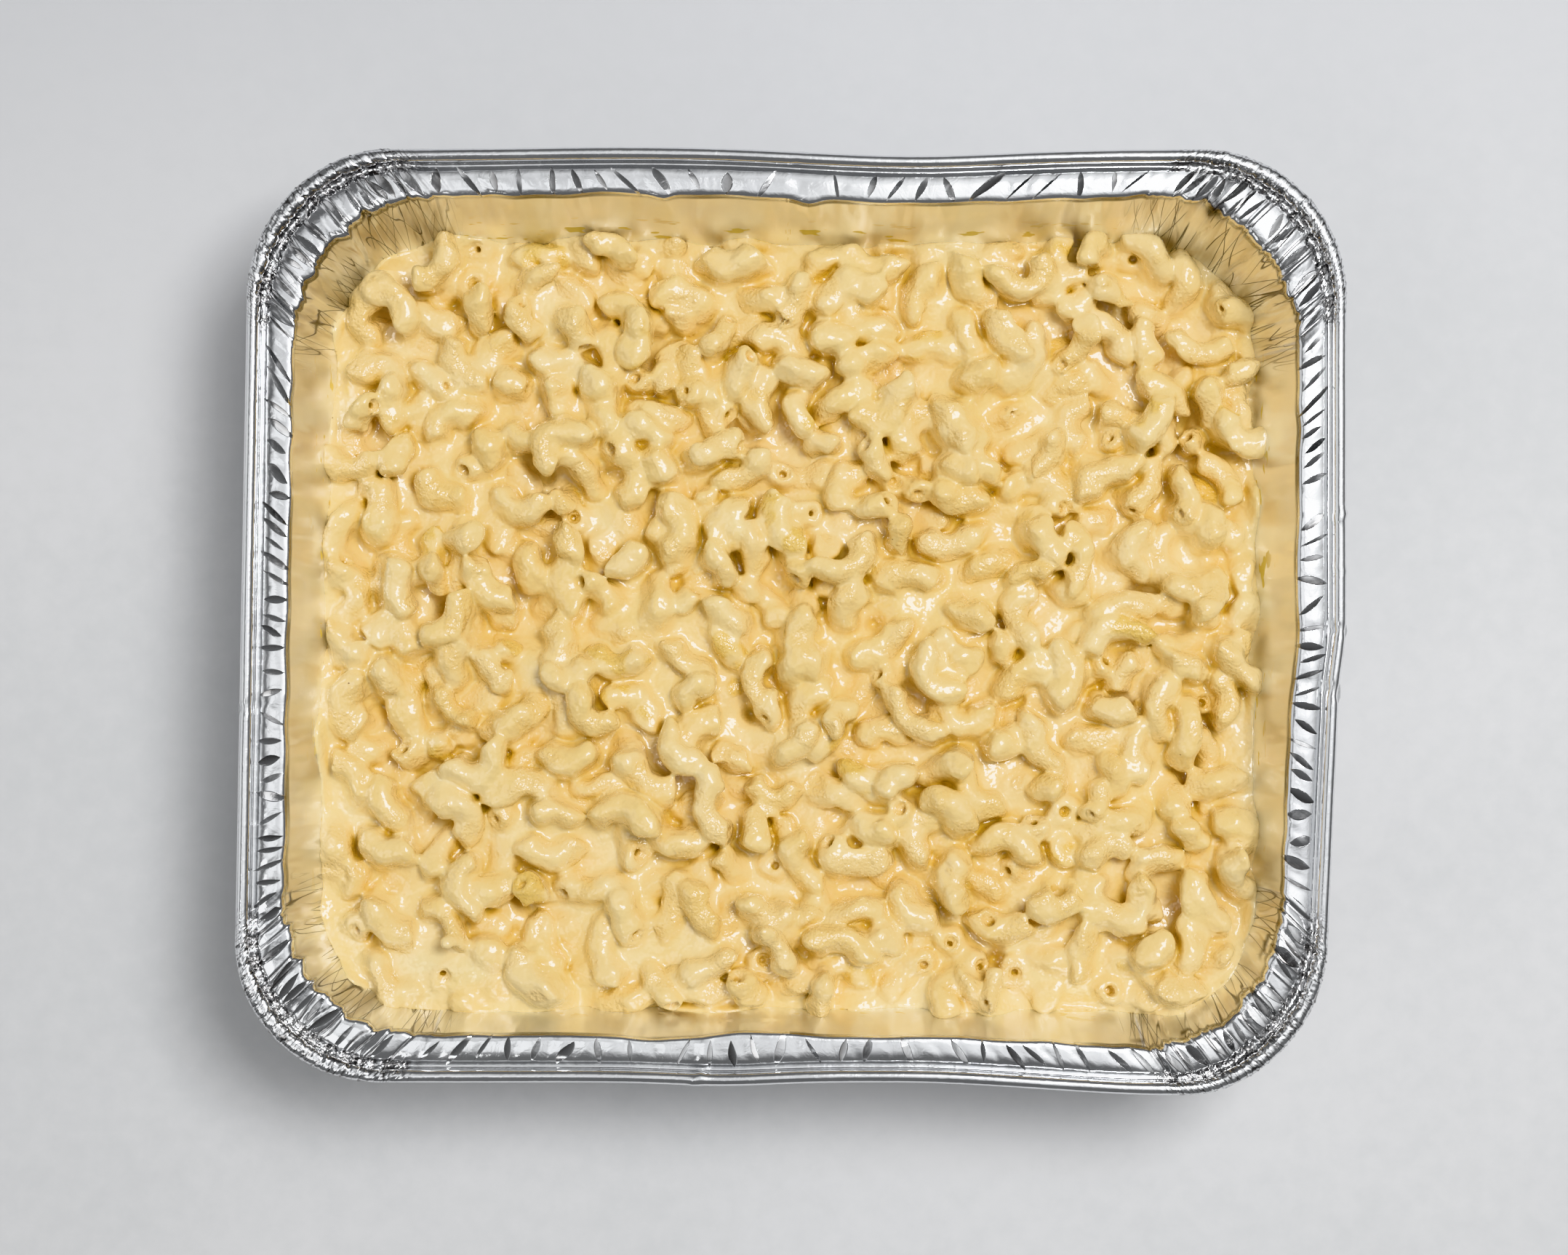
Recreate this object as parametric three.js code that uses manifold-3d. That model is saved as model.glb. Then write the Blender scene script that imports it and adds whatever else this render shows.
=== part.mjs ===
// A half-size foil steam-table tray filled with elbow macaroni in cheese sauce.
// Millimetres, +Z up, the tray's flat base on z = 0, the rim's long side along X.
//
// foil_tray        one pressed sheet: flat base, sloping walls, a flange with pleated
//                  corners and a rolled bead round its edge, all pushed out of true by
//                  handling as such trays are
// macaroni_cheese  the filling: a thick bed of sauce with the elbows that show fused on

import * as THREE from 'three';
import { mergeVertices } from 'three/addons/utils/BufferGeometryUtils.js';
import Module from 'manifold-3d';

const wasm = await Module();
wasm.setup();

// ---- tray ---------------------------------------------------------------------------

const RIM_HALF_X = 158.75; // half length over the rolled bead, before the dents
const RIM_HALF_Y = 134.6; // half width over the rolled bead, before the dents
const CORNER_R = 42; // corner radius of the bead
const FLANGE_CORNER_R = 40.5; // corner radius where the flange turns down into the wall
const FLOOR_CORNER_R = 27; // corner radius of the base
const TRAY_H = 64.6; // height of the bead's top
const FLANGE_Z = 61.7; // height of the flange's upper face at mid width
const WALL_TOP_INSET = 13.6; // from the bead's outer edge in to the top of the wall
const WALL_TOP_Z = 59;
const WALL_FOOT_Z = 5;
const WALL_SLOPE = 0.244; // inward travel of the wall per millimetre of depth
const SHEET = 0.95; // the sheet's stand-in thickness; the real foil is a tenth of this

const PLEATS_PER_CORNER = 11;
const PLEAT_HEIGHT = 0.75;
const LONG_SIDE_STEPS = 10;
const SHORT_SIDE_STEPS = 8;
const WRINKLE_HEIGHT = 0.3; // height of the flange's wrinkles along the straight sides
const PLEAT_SEED = 77;

// ---- filling ------------------------------------------------------------------------

const SAUCE_LEVEL = 32.5; // mean height of the sauce above the base
const SAUCE_TILT = -0.05; // rise of the sauce per millimetre of +Y
const SAUCE_DOME = 1.6; // how much the middle stands above the edges
const TUBE_R = 3.9; // radius of an elbow with the sauce that coats it
const ELBOW_LENGTH = 21.5; // length of an elbow along its middle line
const ELBOW_SIDES = 5;
const ELBOW_STEPS = 3;
const ELBOW_COUNT = 140; // elbows that stand out of the sauce
const ELBOW_SPACING = 17; // least distance between the middles of scattered elbows
const FILL_SEED = 20411;
const FIT_GAP = 0.75; // from the filling to the wall, clear of the pleats
const FLOOR_GAP = 0.3;
const CLUMP = { x: -46, y: 45, height: 2.6, reach: 15 }; // a knot of elbows lifted out

// Elbows laid by hand. Lying flat: x and y of the middle of the bend, the way the open
// side faces in degrees, and the radius of the bend.
const LAID_FLAT = [
  [-129, 92, 0, 5.4], [-117, 97, 225, 5.4], [-106, 89, 75, 6.9], [-100, 76, 35, 8.3],
  [-90, 79, -20, 7.9], [-123, 77, -90, 6.3], [-78, 53, 90, 5.6], [-48, 93, 225, 6.3],
  [-3, 85, -100, 7.1], [-9, 65, 0, 8.8], [-46, 44, 185, 7.9], [-32, 27, 180, 6.7],
  [-81, 33, 85, 5.8], [-91, 9, 45, 7.9], [20, 89, 50, 6.7], [43, 82, -90, 7.9],
  [80, 101, -50, 10], [97, 86, 225, 6.7], [122, 81, 80, 9.6], [-132, 45, 80, 6.7],
  [-105, 38, 60, 8.8], [-107, 18, 150, 7.5], [-117, 9, 15, 12.1], [34, 15, -90, 9.2],
  [47, 22, 95, 7.9], [55, 49, 20, 7.5], [67, 2, 0, 7.5], [100, 21, 0, 5.8],
  [110, 19, 10, 8.8], [130, 43, 215, 11.7], [-133, -26, 0, 7.1], [-101, -11, 0, 7.9],
  [-100, -49, -110, 7.9], [-52, -13, 80, 8.3], [-30, -34, -30, 8.8], [-44, -47, 50, 14.6],
  [-5, -53, 90, 7.5], [28, -8, 130, 9.6], [33, -28, 40, 9.6], [51, -31, 90, 6.3],
  [28, -32, -90, 6.3], [73, -38, 30, 9.2], [90, -35, 88, 12.5], [101, -38, 0, 7.5],
  [130, -24, 180, 6.7], [-120, -90, 45, 9.4], [-71, -70, 90, 7.9], [-34, -85, 160, 14.6],
  [20, -72, 85, 8.8], [62, -90, 90, 10.4], [95, -86, -110, 8.8], [121, -84, 30, 9.4],
];
// Arching over, seen as a hump with both ends sunk: x, y and heading.
const LAID_ARCHED = [
  [-31, 97, -115], [-5, 96, -102], [-40, 62, -92], [-39, 5, 180],
  [16, 67, -65], [-121, 33, 180], [-99, 13, 0], [59, 17, -75],
  [-116, -25, 0], [-55, -49, -85], [109, -26, 0], [95, -60, -80],
];
// Both ends turned up out of the sauce: x, y and heading.
const LAID_UPTURNED = [
  [-36, 46, 93], [29, 36, 0], [118, -21, 40], [-4, -104, 60], [80, -62, 0], [7, 26, 30],
];

// ---- small helpers ------------------------------------------------------------------

// A repeatable stream of numbers from 0 to 1.
function randomStream(seed) {
  let state = seed >>> 0;
  return () => {
    state = (state + 0x6d2b79f5) >>> 0;
    let t = state;
    t = Math.imul(t ^ (t >>> 15), t | 1);
    t ^= t + Math.imul(t ^ (t >>> 7), t | 61);
    return ((t ^ (t >>> 14)) >>> 0) / 4294967296;
  };
}

const radians = (degrees) => (degrees * Math.PI) / 180;
const lerp = (a, b, t) => a + (b - a) * t;

function smoothStep(low, high, value) {
  const t = Math.min(1, Math.max(0, (value - low) / (high - low)));
  return t * t * (3 - 2 * t);
}

const bump = (value, centre, width) => Math.exp(-(((value - centre) / width) ** 2));

// Bands of triangles joining rings of points, each ring anticlockwise. Two lofts that lie
// against each other and run opposite ways lean their diagonals alike if one is leanBack.
function loft(rings, leanBack = false) {
  const count = rings[0].length;
  const positions = rings.flat().flatMap((p) => [p.x, p.y, p.z]);
  const triangles = [];
  for (let i = 0; i < rings.length - 1; i += 1) {
    const first = i * count;
    const second = first + count;
    for (let k = 0; k < count; k += 1) {
      const next = (k + 1) % count;
      if (leanBack) {
        triangles.push(first + k, first + next, second + k);
        triangles.push(first + next, second + next, second + k);
      } else {
        triangles.push(first + k, first + next, second + next);
        triangles.push(first + k, second + next, second + k);
      }
    }
  }
  return { positions, triangles, count };
}

// Closes one end of a loft, whose ring there is flat and convex.
function capRing(shape, ring, facesUp) {
  const { triangles, count } = shape;
  const first = ring * count;
  for (let k = 1; k < count - 1; k += 1) {
    if (facesUp) triangles.push(first, first + k, first + k + 1);
    else triangles.push(first, first + k + 1, first + k);
  }
}

function toManifold({ positions, triangles }) {
  const mesh = new wasm.Mesh({
    numProp: 3,
    vertProperties: new Float32Array(positions),
    triVerts: new Uint32Array(triangles),
  });
  return new wasm.Manifold(mesh);
}

function toGeometry(positions, triangles) {
  const geometry = new THREE.BufferGeometry();
  geometry.setAttribute('position', new THREE.Float32BufferAttribute(positions, 3));
  geometry.setIndex(Array.from(triangles));
  const merged = mergeVertices(geometry, 1e-5);
  merged.computeVertexNormals();
  return merged;
}

// ---- the tray's plan ----------------------------------------------------------------

// Where the bead runs on each side once the rim is pushed out of true. The right side is
// pushed in below a crease, the top is pinched in, the bottom bulges towards one corner.
const leftEdge = (y) => 157.9 - 0.018 * y;
const rightEdge = (y) => 159.5 - 2.3 * smoothStep(0, 25, -y) - 0.045 * Math.max(0, -y - 25);
const topEdge = (x) => 135.4 - 1.9 * bump(x, 35, 38) + 0.7 * bump(x, -45, 40);
const bottomEdge = (x) => 132.5 + bump(x, -20, 20) + 3.6 * smoothStep(30, 110, x);

// How far a point of the plan is moved by the dents, in full at the rim and hardly at
// all at the base.
function dent(x, y, z) {
  const strength = 0.08 + 0.92 * Math.min(1, z / FLANGE_Z) ** 1.4;
  const wholeX = x > 0 ? rightEdge(y) - RIM_HALF_X : RIM_HALF_X - leftEdge(y);
  const wholeY = y > 0 ? topEdge(x) - RIM_HALF_Y : RIM_HALF_Y - bottomEdge(x);
  const shareX = smoothStep(0.5, 0.95, Math.abs(x) / RIM_HALF_X);
  const shareY = smoothStep(0.5, 0.95, Math.abs(y) / RIM_HALF_Y);
  return { dx: strength * shareX * wholeX, dy: strength * shareY * wholeY };
}

// Stations round the plan, from the middle of the right side anticlockwise. A station is
// either on a corner's arc, at an angle, or on a straight side, at a share of its length.
function makeStations(cornerSteps, longSteps, shortSteps) {
  const stations = [];
  const corners = [[1, 1], [-1, 1], [-1, -1], [1, -1]];
  corners.forEach(([sx, sy], quadrant) => {
    for (let k = 0; k < cornerSteps; k += 1) {
      const angle = (quadrant + k / cornerSteps) * (Math.PI / 2);
      stations.push({ corner: true, sx, sy, angle, k });
    }
    const [nx, ny] = corners[(quadrant + 1) % 4];
    const steps = quadrant % 2 === 0 ? longSteps : shortSteps;
    const angle = (quadrant + 1) * (Math.PI / 2);
    for (let k = 0; k < steps; k += 1) {
      stations.push({ corner: false, sx, sy, nx, ny, angle, share: k / steps, k });
    }
  });
  return stations;
}

// The point of one station on a rounded rectangle that is inset from the bead's edge.
function planPoint(station, inset, radius, z) {
  const cx = RIM_HALF_X - inset - radius;
  const cy = RIM_HALF_Y - inset - radius;
  const nx = Math.cos(station.angle);
  const ny = Math.sin(station.angle);
  let x = station.sx * cx;
  let y = station.sy * cy;
  if (!station.corner) {
    x = lerp(x, station.nx * cx, station.share);
    y = lerp(y, station.ny * cy, station.share);
  }
  x += radius * nx;
  y += radius * ny;
  const { dx, dy } = dent(x, y, z);
  return new THREE.Vector3(x + dx, y + dy, z);
}

// The wall's inset and corner radius at a height.
const wallInset = (z) => WALL_TOP_INSET + WALL_SLOPE * (WALL_TOP_Z - z);
const wallShare = (z) => (z - WALL_FOOT_Z) / (WALL_TOP_Z - WALL_FOOT_Z);
const wallRadius = (z) => lerp(FLOOR_CORNER_R, FLANGE_CORNER_R, wallShare(z));

// ---- foil tray ----------------------------------------------------------------------

function buildTray() {
  const stations = makeStations(2 * PLEATS_PER_CORNER, LONG_SIDE_STEPS, SHORT_SIDE_STEPS);
  const draw = randomStream(PLEAT_SEED);
  // Each station's crease: up and down by turns round a corner, slight along a side.
  const crease = stations.map((station) => {
    const size = 0.65 + 0.7 * draw();
    if (station.corner && station.k > 0) return (station.k % 2 ? 1 : -1) * size;
    return (draw() - 0.5) * 2 * (WRINKLE_HEIGHT / PLEAT_HEIGHT) * size;
  });
  // The section, upper face from the bead in to the floor, then the lower face back out:
  // inset, height, corner radius, and how much of the crease it takes.
  const section = [
    [0, 62.9, CORNER_R, 0.15],
    [1.8, TRAY_H, CORNER_R, 0.15],
    [4.0, 61.2, CORNER_R - 0.5, 0.3],
    [8.4, FLANGE_Z, CORNER_R - 1, 0.8],
    [12.0, FLANGE_Z - 0.8, FLANGE_CORNER_R, 1],
    [WALL_TOP_INSET, WALL_TOP_Z, FLANGE_CORNER_R, 0.6],
    [wallInset(WALL_FOOT_Z), WALL_FOOT_Z, FLOOR_CORNER_R, 0],
    [wallInset(WALL_FOOT_Z) + 3.2, SHEET, FLOOR_CORNER_R - 2.5, 0],
    [wallInset(WALL_FOOT_Z) + 3.6, 0, FLOOR_CORNER_R - 2.5, 0],
    [wallInset(WALL_FOOT_Z) - SHEET, WALL_FOOT_Z - 0.5, FLOOR_CORNER_R, 0],
    [WALL_TOP_INSET - SHEET, WALL_TOP_Z - 0.6, FLANGE_CORNER_R, 0.6],
    [11.4, FLANGE_Z - 0.8 - SHEET, FLANGE_CORNER_R, 1],
    [4.0, 61.2 - SHEET, CORNER_R - 0.5, 0.3],
    [1.8, 61.1, CORNER_R, 0.15],
  ];
  const rings = section.map(([inset, z, radius, share]) => stations.map((station, i) => {
    const lift = crease[i] * share * PLEAT_HEIGHT;
    const onWall = inset >= WALL_TOP_INSET - SHEET && z > WALL_FOOT_Z;
    const p = planPoint(station, inset + (onWall ? -lift : 0), radius, z);
    if (!onWall) p.z += lift;
    return p;
  }));
  // The bands run from the underside of the floor out, over the bead and back in to the
  // floor's upper side, and the floor closes both ends.
  const upperRings = 8;
  const shape = loft([...rings.slice(upperRings), ...rings.slice(0, upperRings)]);
  capRing(shape, 0, false);
  capRing(shape, rings.length - 1, true);
  return shape;
}

// ---- filling ------------------------------------------------------------------------

// Height of the sauce between the elbows.
function sauceHeight(x, y) {
  const fromMiddle = (x / 138) ** 2 + (y / 114) ** 2;
  const dome = SAUCE_DOME * Math.max(0, 1 - fromMiddle);
  const wave = 0.9 * Math.sin(x / 19 + 1.3) * Math.sin(y / 23 + 0.4);
  const ripple = 0.5 * Math.sin(x / 8.7 + y / 13 + 0.8) * Math.cos(y / 9.1 - x / 15);
  return SAUCE_LEVEL + SAUCE_TILT * y + dome + wave + ripple;
}

// How much higher the sauce lies under the lifted knot.
function clumpLift(x, y) {
  return CLUMP.height * bump(Math.hypot(x - CLUMP.x, y - CLUMP.y), 0, CLUMP.reach);
}

// The two directions an elbow's bend lies in: inward, from the bend's middle to its open
// side, tipped down by tip, and along its chord, rolled by roll.
function bendDirections({ heading, tip, roll }) {
  const inward = new THREE.Vector3(Math.cos(heading), Math.sin(heading), 0);
  inward.multiplyScalar(Math.cos(tip)).setZ(-Math.sin(tip));
  const along = new THREE.Vector3(-Math.sin(heading), Math.cos(heading), 0);
  along.multiplyScalar(Math.cos(roll)).setZ(Math.sin(roll));
  return { inward, along };
}

// Middle line of an elbow: part of a circle through the bend's middle.
function middleLine(elbow, steps) {
  const { x, y, z, radius, length } = elbow;
  const sweep = length / radius;
  const { inward, along } = bendDirections(elbow);
  const points = [];
  for (let i = 0; i <= steps; i += 1) {
    const angle = sweep * (i / steps - 0.5);
    const point = new THREE.Vector3(x, y, z);
    point.addScaledVector(inward, radius * (1 - Math.cos(angle)));
    point.addScaledVector(along, radius * Math.sin(angle));
    points.push(point);
  }
  return points;
}

// Is a point of the plan inside the wall by at least a margin?
function insideWall(x, y, margin) {
  const z = SAUCE_LEVEL + 3;
  const inset = wallInset(z) + margin;
  const radius = Math.max(8, wallRadius(z) - margin);
  const { dx, dy } = dent(x, y, z);
  const overX = Math.abs(x - dx) - (RIM_HALF_X - inset - radius);
  const overY = Math.abs(y - dy) - (RIM_HALF_Y - inset - radius);
  return Math.hypot(Math.max(overX, 0), Math.max(overY, 0)) <= radius;
}

// How much an elbow's middle line runs into those already laid.
function crowding(line, others) {
  let sum = 0;
  for (const other of others) {
    if (line[2].distanceToSquared(other[2]) > 1100) continue;
    for (const p of line) {
      for (const q of other) {
        const short = 1.75 * TUBE_R - p.distanceTo(q);
        if (short > 0) sum += short * short;
      }
    }
  }
  return sum;
}

// The middle of the space an elbow covers in plan.
function footprint(elbow) {
  const inside = 0.45 * elbow.radius * Math.cos(elbow.tip);
  const { x, y, heading } = elbow;
  return [x + inside * Math.cos(heading), y + inside * Math.sin(heading)];
}

function elbowFrom(kind, x, y, heading, radius, draw) {
  const elbow = { kind, x, y, heading, radius, roll: 0, tip: 0 };
  elbow.length = ELBOW_LENGTH * (0.9 + 0.2 * draw());
  const base = sauceHeight(x, y) + clumpLift(x, y);
  if (kind === 'flat') {
    elbow.tip = radians(24 * (draw() - 0.5));
    elbow.roll = radians(26 * (draw() - 0.5));
    elbow.z = base + 1.6 + 2.2 * draw();
  } else if (kind === 'arched') {
    elbow.tip = radians(48 + 24 * draw());
    elbow.roll = radians(14 * (draw() - 0.5));
    elbow.z = base + 2.6 + 2 * draw();
  } else {
    elbow.tip = -radians(68 + 14 * draw());
    const rise = radius * Math.sin(-elbow.tip) * (1 - Math.cos(elbow.length / radius / 2));
    elbow.z = base + 3.4 - rise + 1.2 * draw();
  }
  return elbow;
}

function layElbows() {
  const draw = randomStream(FILL_SEED);
  const elbows = [];
  for (const [x, y, facing, radius] of LAID_FLAT) {
    elbows.push(elbowFrom('flat', x, y, radians(facing), radius, draw));
  }
  for (const [x, y, facing] of LAID_ARCHED) {
    elbows.push(elbowFrom('arched', x, y, radians(facing), 7.6, draw));
  }
  for (const [x, y, facing] of LAID_UPTURNED) {
    elbows.push(elbowFrom('upturned', x, y, radians(facing), 5.6, draw));
  }
  const lines = elbows.map((elbow) => middleLine(elbow, 4));
  const middles = elbows.map(footprint);
  // The rest are scattered evenly: a place is kept if it is far enough from the others,
  // and the least crowded of a few ways to lie there is taken.
  for (let tries = 0; tries < 6000 && elbows.length < ELBOW_COUNT; tries += 1) {
    const x = (draw() - 0.5) * 2 * 136;
    const y = (draw() - 0.5) * 2 * 112;
    const free = middles.every(([mx, my]) => Math.hypot(mx - x, my - y) >= ELBOW_SPACING);
    if (!free || !insideWall(x, y, 5)) continue;
    let best = null;
    for (let way = 0; way < 10; way += 1) {
      const lot = draw();
      const kind = lot < 0.66 ? 'flat' : lot < 0.9 ? 'arched' : 'upturned';
      const radius = kind === 'upturned' ? 5.2 + 0.8 * draw() : 5.8 + 3.6 * draw();
      const heading = 2 * Math.PI * draw();
      const back = kind === 'flat' ? 0.45 * radius : 0.2 * radius;
      const px = x - back * Math.cos(heading);
      const py = y - back * Math.sin(heading);
      const elbow = elbowFrom(kind, px, py, heading, radius, draw);
      const line = middleLine(elbow, 4);
      const outside = line.filter((p) => !insideWall(p.x, p.y, 4)).length;
      const cost = crowding(line, lines) + 40 * outside;
      if (!best || cost < best.cost) best = { elbow, line, cost };
    }
    elbows.push(best.elbow);
    lines.push(best.line);
    middles.push([x, y]);
  }
  return elbows;
}

// One elbow as a closed tube with few sides.
function elbowTube(elbow) {
  const line = middleLine(elbow, ELBOW_STEPS);
  const { inward, along } = bendDirections(elbow);
  const axis = new THREE.Vector3().crossVectors(inward, along).normalize();
  const rings = line.map((centre, i) => {
    const before = line[Math.max(0, i - 1)];
    const after = line[Math.min(line.length - 1, i + 1)];
    const forward = new THREE.Vector3().subVectors(after, before).normalize();
    const side = new THREE.Vector3().crossVectors(forward, axis).normalize();
    const ring = [];
    for (let k = 0; k < ELBOW_SIDES; k += 1) {
      const angle = (-2 * Math.PI * (k + 0.5)) / ELBOW_SIDES;
      const point = centre.clone();
      point.addScaledVector(side, TUBE_R * 1.06 * Math.cos(angle));
      point.addScaledVector(axis, TUBE_R * 1.06 * Math.sin(angle));
      ring.push(point);
    }
    return ring;
  });
  const shape = loft(rings);
  capRing(shape, 0, false);
  capRing(shape, rings.length - 1, true);
  return toManifold(shape);
}

// The space inside the tray, less the fit gap, up to a height above every elbow.
function cavity() {
  const stations = makeStations(8, LONG_SIDE_STEPS, SHORT_SIDE_STEPS);
  const heights = [SHEET + FLOOR_GAP, WALL_FOOT_Z, WALL_TOP_Z - 1];
  const rings = heights.map((z, i) => stations.map((station) => {
    if (i === 0) {
      return planPoint(station, wallInset(WALL_FOOT_Z) + 3.4 + FIT_GAP, FLOOR_CORNER_R - 2.5, z);
    }
    return planPoint(station, wallInset(z) + FIT_GAP, wallRadius(z), z);
  }));
  const shape = loft(rings, true);
  capRing(shape, 0, false);
  capRing(shape, rings.length - 1, true);
  return toManifold(shape);
}

// The bed of sauce: a block that is larger than the tray, with a gently uneven top.
function sauceBlock() {
  const halfX = 170;
  const halfY = 145;
  const nx = 9;
  const ny = 8;
  const positions = [];
  const triangles = [];
  for (let j = 0; j <= ny; j += 1) {
    for (let i = 0; i <= nx; i += 1) {
      const x = lerp(-halfX, halfX, i / nx);
      const y = lerp(-halfY, halfY, j / ny);
      positions.push(x, y, sauceHeight(x, y));
    }
  }
  const row = nx + 1;
  for (let j = 0; j < ny; j += 1) {
    for (let i = 0; i < nx; i += 1) {
      const a = j * row + i;
      triangles.push(a, a + 1, a + row + 1);
      triangles.push(a, a + row + 1, a + row);
    }
  }
  const edge = [];
  for (let i = 0; i < nx; i += 1) edge.push(i);
  for (let j = 0; j < ny; j += 1) edge.push(j * row + nx);
  for (let i = nx; i > 0; i -= 1) edge.push(ny * row + i);
  for (let j = ny; j > 0; j -= 1) edge.push(j * row);
  const foot = positions.length / 3;
  for (const at of edge) positions.push(positions[3 * at], positions[3 * at + 1], -5);
  const middle = positions.length / 3;
  positions.push(0, 0, -5);
  edge.forEach((at, k) => {
    const next = (k + 1) % edge.length;
    triangles.push(foot + k, foot + next, edge[next]);
    triangles.push(foot + k, edge[next], at);
    triangles.push(foot + next, foot + k, middle);
  });
  return toManifold({ positions, triangles });
}

function buildFilling() {
  const parts = [sauceBlock(), ...layElbows().map(elbowTube)];
  const heap = wasm.Manifold.union(parts);
  const filled = heap.intersect(cavity());
  const pieces = filled.decompose();
  pieces.sort((a, b) => b.volume() - a.volume());
  const mesh = pieces[0].simplify(0.02).getMesh();
  return { positions: mesh.vertProperties, triangles: mesh.triVerts };
}

// ---- the part -----------------------------------------------------------------------

const tray = buildTray();
const filling = buildFilling();

const foil = new THREE.MeshStandardMaterial({ color: 0xc9ccd0, roughness: 0.32, metalness: 1 });
const cheese = new THREE.MeshStandardMaterial({ color: 0xf0d492, roughness: 0.35, metalness: 0 });

const trayMesh = new THREE.Mesh(toGeometry(tray.positions, tray.triangles), foil);
trayMesh.name = 'foil_tray';
const fillingMesh = new THREE.Mesh(toGeometry(filling.positions, filling.triangles), cheese);
fillingMesh.name = 'macaroni_cheese';

// The origin is the middle of the rim's bounding box, at the base.
const box = new THREE.Box3().setFromBufferAttribute(trayMesh.geometry.getAttribute('position'));
const middle = box.getCenter(new THREE.Vector3());
for (const mesh of [trayMesh, fillingMesh]) mesh.geometry.translate(-middle.x, -middle.y, 0);

const group = new THREE.Group();
group.name = 'foil_tray_meal';
group.add(trayMesh, fillingMesh);

export default group;
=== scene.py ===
"""A half-size foil tray of macaroni and cheese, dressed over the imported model.

Shapes are worked out in millimetres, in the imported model's frame, and made in metres.
"""

import math

import bmesh
import bpy
import numpy as np
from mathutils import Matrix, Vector


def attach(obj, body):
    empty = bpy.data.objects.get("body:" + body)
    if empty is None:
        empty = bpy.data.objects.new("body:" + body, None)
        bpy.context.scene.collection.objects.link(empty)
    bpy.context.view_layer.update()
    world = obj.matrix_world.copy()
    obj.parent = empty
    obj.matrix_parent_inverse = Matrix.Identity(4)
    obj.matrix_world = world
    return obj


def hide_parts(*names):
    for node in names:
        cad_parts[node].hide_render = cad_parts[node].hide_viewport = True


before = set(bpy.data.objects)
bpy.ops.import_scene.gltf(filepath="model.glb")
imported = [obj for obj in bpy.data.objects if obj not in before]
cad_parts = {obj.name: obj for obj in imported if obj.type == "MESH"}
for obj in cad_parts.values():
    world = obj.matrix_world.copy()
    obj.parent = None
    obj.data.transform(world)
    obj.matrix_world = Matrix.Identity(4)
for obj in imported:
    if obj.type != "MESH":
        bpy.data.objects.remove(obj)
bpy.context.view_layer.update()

MM = 0.001

# ---- the tray's sizes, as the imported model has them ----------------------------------

RIM_HALF_X = 158.75
RIM_HALF_Y = 134.6
CORNER_R = 42.0
FLANGE_CORNER_R = 40.5
FLOOR_CORNER_R = 27.0
FLANGE_Z = 61.7
WALL_TOP_INSET = 13.6
WALL_TOP_Z = 59.0
WALL_FOOT_Z = 5.0
WALL_SLOPE = 0.244
CORNERS = ((1, 1), (-1, 1), (-1, -1), (1, -1))
CENTRE_X = 0.03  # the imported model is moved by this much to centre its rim

FOIL = 0.45  # the shown sheet's thickness

# ---- the filling's sizes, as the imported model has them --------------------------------

SAUCE_LEVEL = 32.5
SAUCE_TILT = -0.05
SAUCE_DOME = 1.6
TUBE_R = 3.9
ELBOW_LENGTH = 21.5
ELBOW_COUNT = 140
ELBOW_SPACING = 17.0
CROWD_REACH = 1.75 * TUBE_R  # middle lines closer than this run into each other
FILL_SEED = 20411
CLUMP_X, CLUMP_Y, CLUMP_HEIGHT, CLUMP_REACH = -46.0, 45.0, 2.6, 15.0

LAID_FLAT = [
    (-129, 92, 0, 5.4), (-117, 97, 225, 5.4), (-106, 89, 75, 6.9), (-100, 76, 35, 8.3),
    (-90, 79, -20, 7.9), (-123, 77, -90, 6.3), (-78, 53, 90, 5.6), (-48, 93, 225, 6.3),
    (-3, 85, -100, 7.1), (-9, 65, 0, 8.8), (-46, 44, 185, 7.9), (-32, 27, 180, 6.7),
    (-81, 33, 85, 5.8), (-91, 9, 45, 7.9), (20, 89, 50, 6.7), (43, 82, -90, 7.9),
    (80, 101, -50, 10), (97, 86, 225, 6.7), (122, 81, 80, 9.6), (-132, 45, 80, 6.7),
    (-105, 38, 60, 8.8), (-107, 18, 150, 7.5), (-117, 9, 15, 12.1), (34, 15, -90, 9.2),
    (47, 22, 95, 7.9), (55, 49, 20, 7.5), (67, 2, 0, 7.5), (100, 21, 0, 5.8),
    (110, 19, 10, 8.8), (130, 43, 215, 11.7), (-133, -26, 0, 7.1), (-101, -11, 0, 7.9),
    (-100, -49, -110, 7.9), (-52, -13, 80, 8.3), (-30, -34, -30, 8.8), (-44, -47, 50, 14.6),
    (-5, -53, 90, 7.5), (28, -8, 130, 9.6), (33, -28, 40, 9.6), (51, -31, 90, 6.3),
    (28, -32, -90, 6.3), (73, -38, 30, 9.2), (90, -35, 88, 12.5), (101, -38, 0, 7.5),
    (130, -24, 180, 6.7), (-120, -90, 45, 9.4), (-71, -70, 90, 7.9), (-34, -85, 160, 14.6),
    (20, -72, 85, 8.8), (62, -90, 90, 10.4), (95, -86, -110, 8.8), (121, -84, 30, 9.4),
]
LAID_ARCHED = [
    (-31, 97, -115), (-5, 96, -102), (-40, 62, -92), (-39, 5, 180),
    (16, 67, -65), (-121, 33, 180), (-99, 13, 0), (59, 17, -75),
    (-116, -25, 0), (-55, -49, -85), (109, -26, 0), (95, -60, -80),
]
LAID_UPTURNED = [
    (-36, 46, 93), (29, 36, 0), (118, -21, 40), (-4, -104, 60), (80, -62, 0), (7, 26, 30),
]

# ---- small helpers --------------------------------------------------------------------


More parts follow.
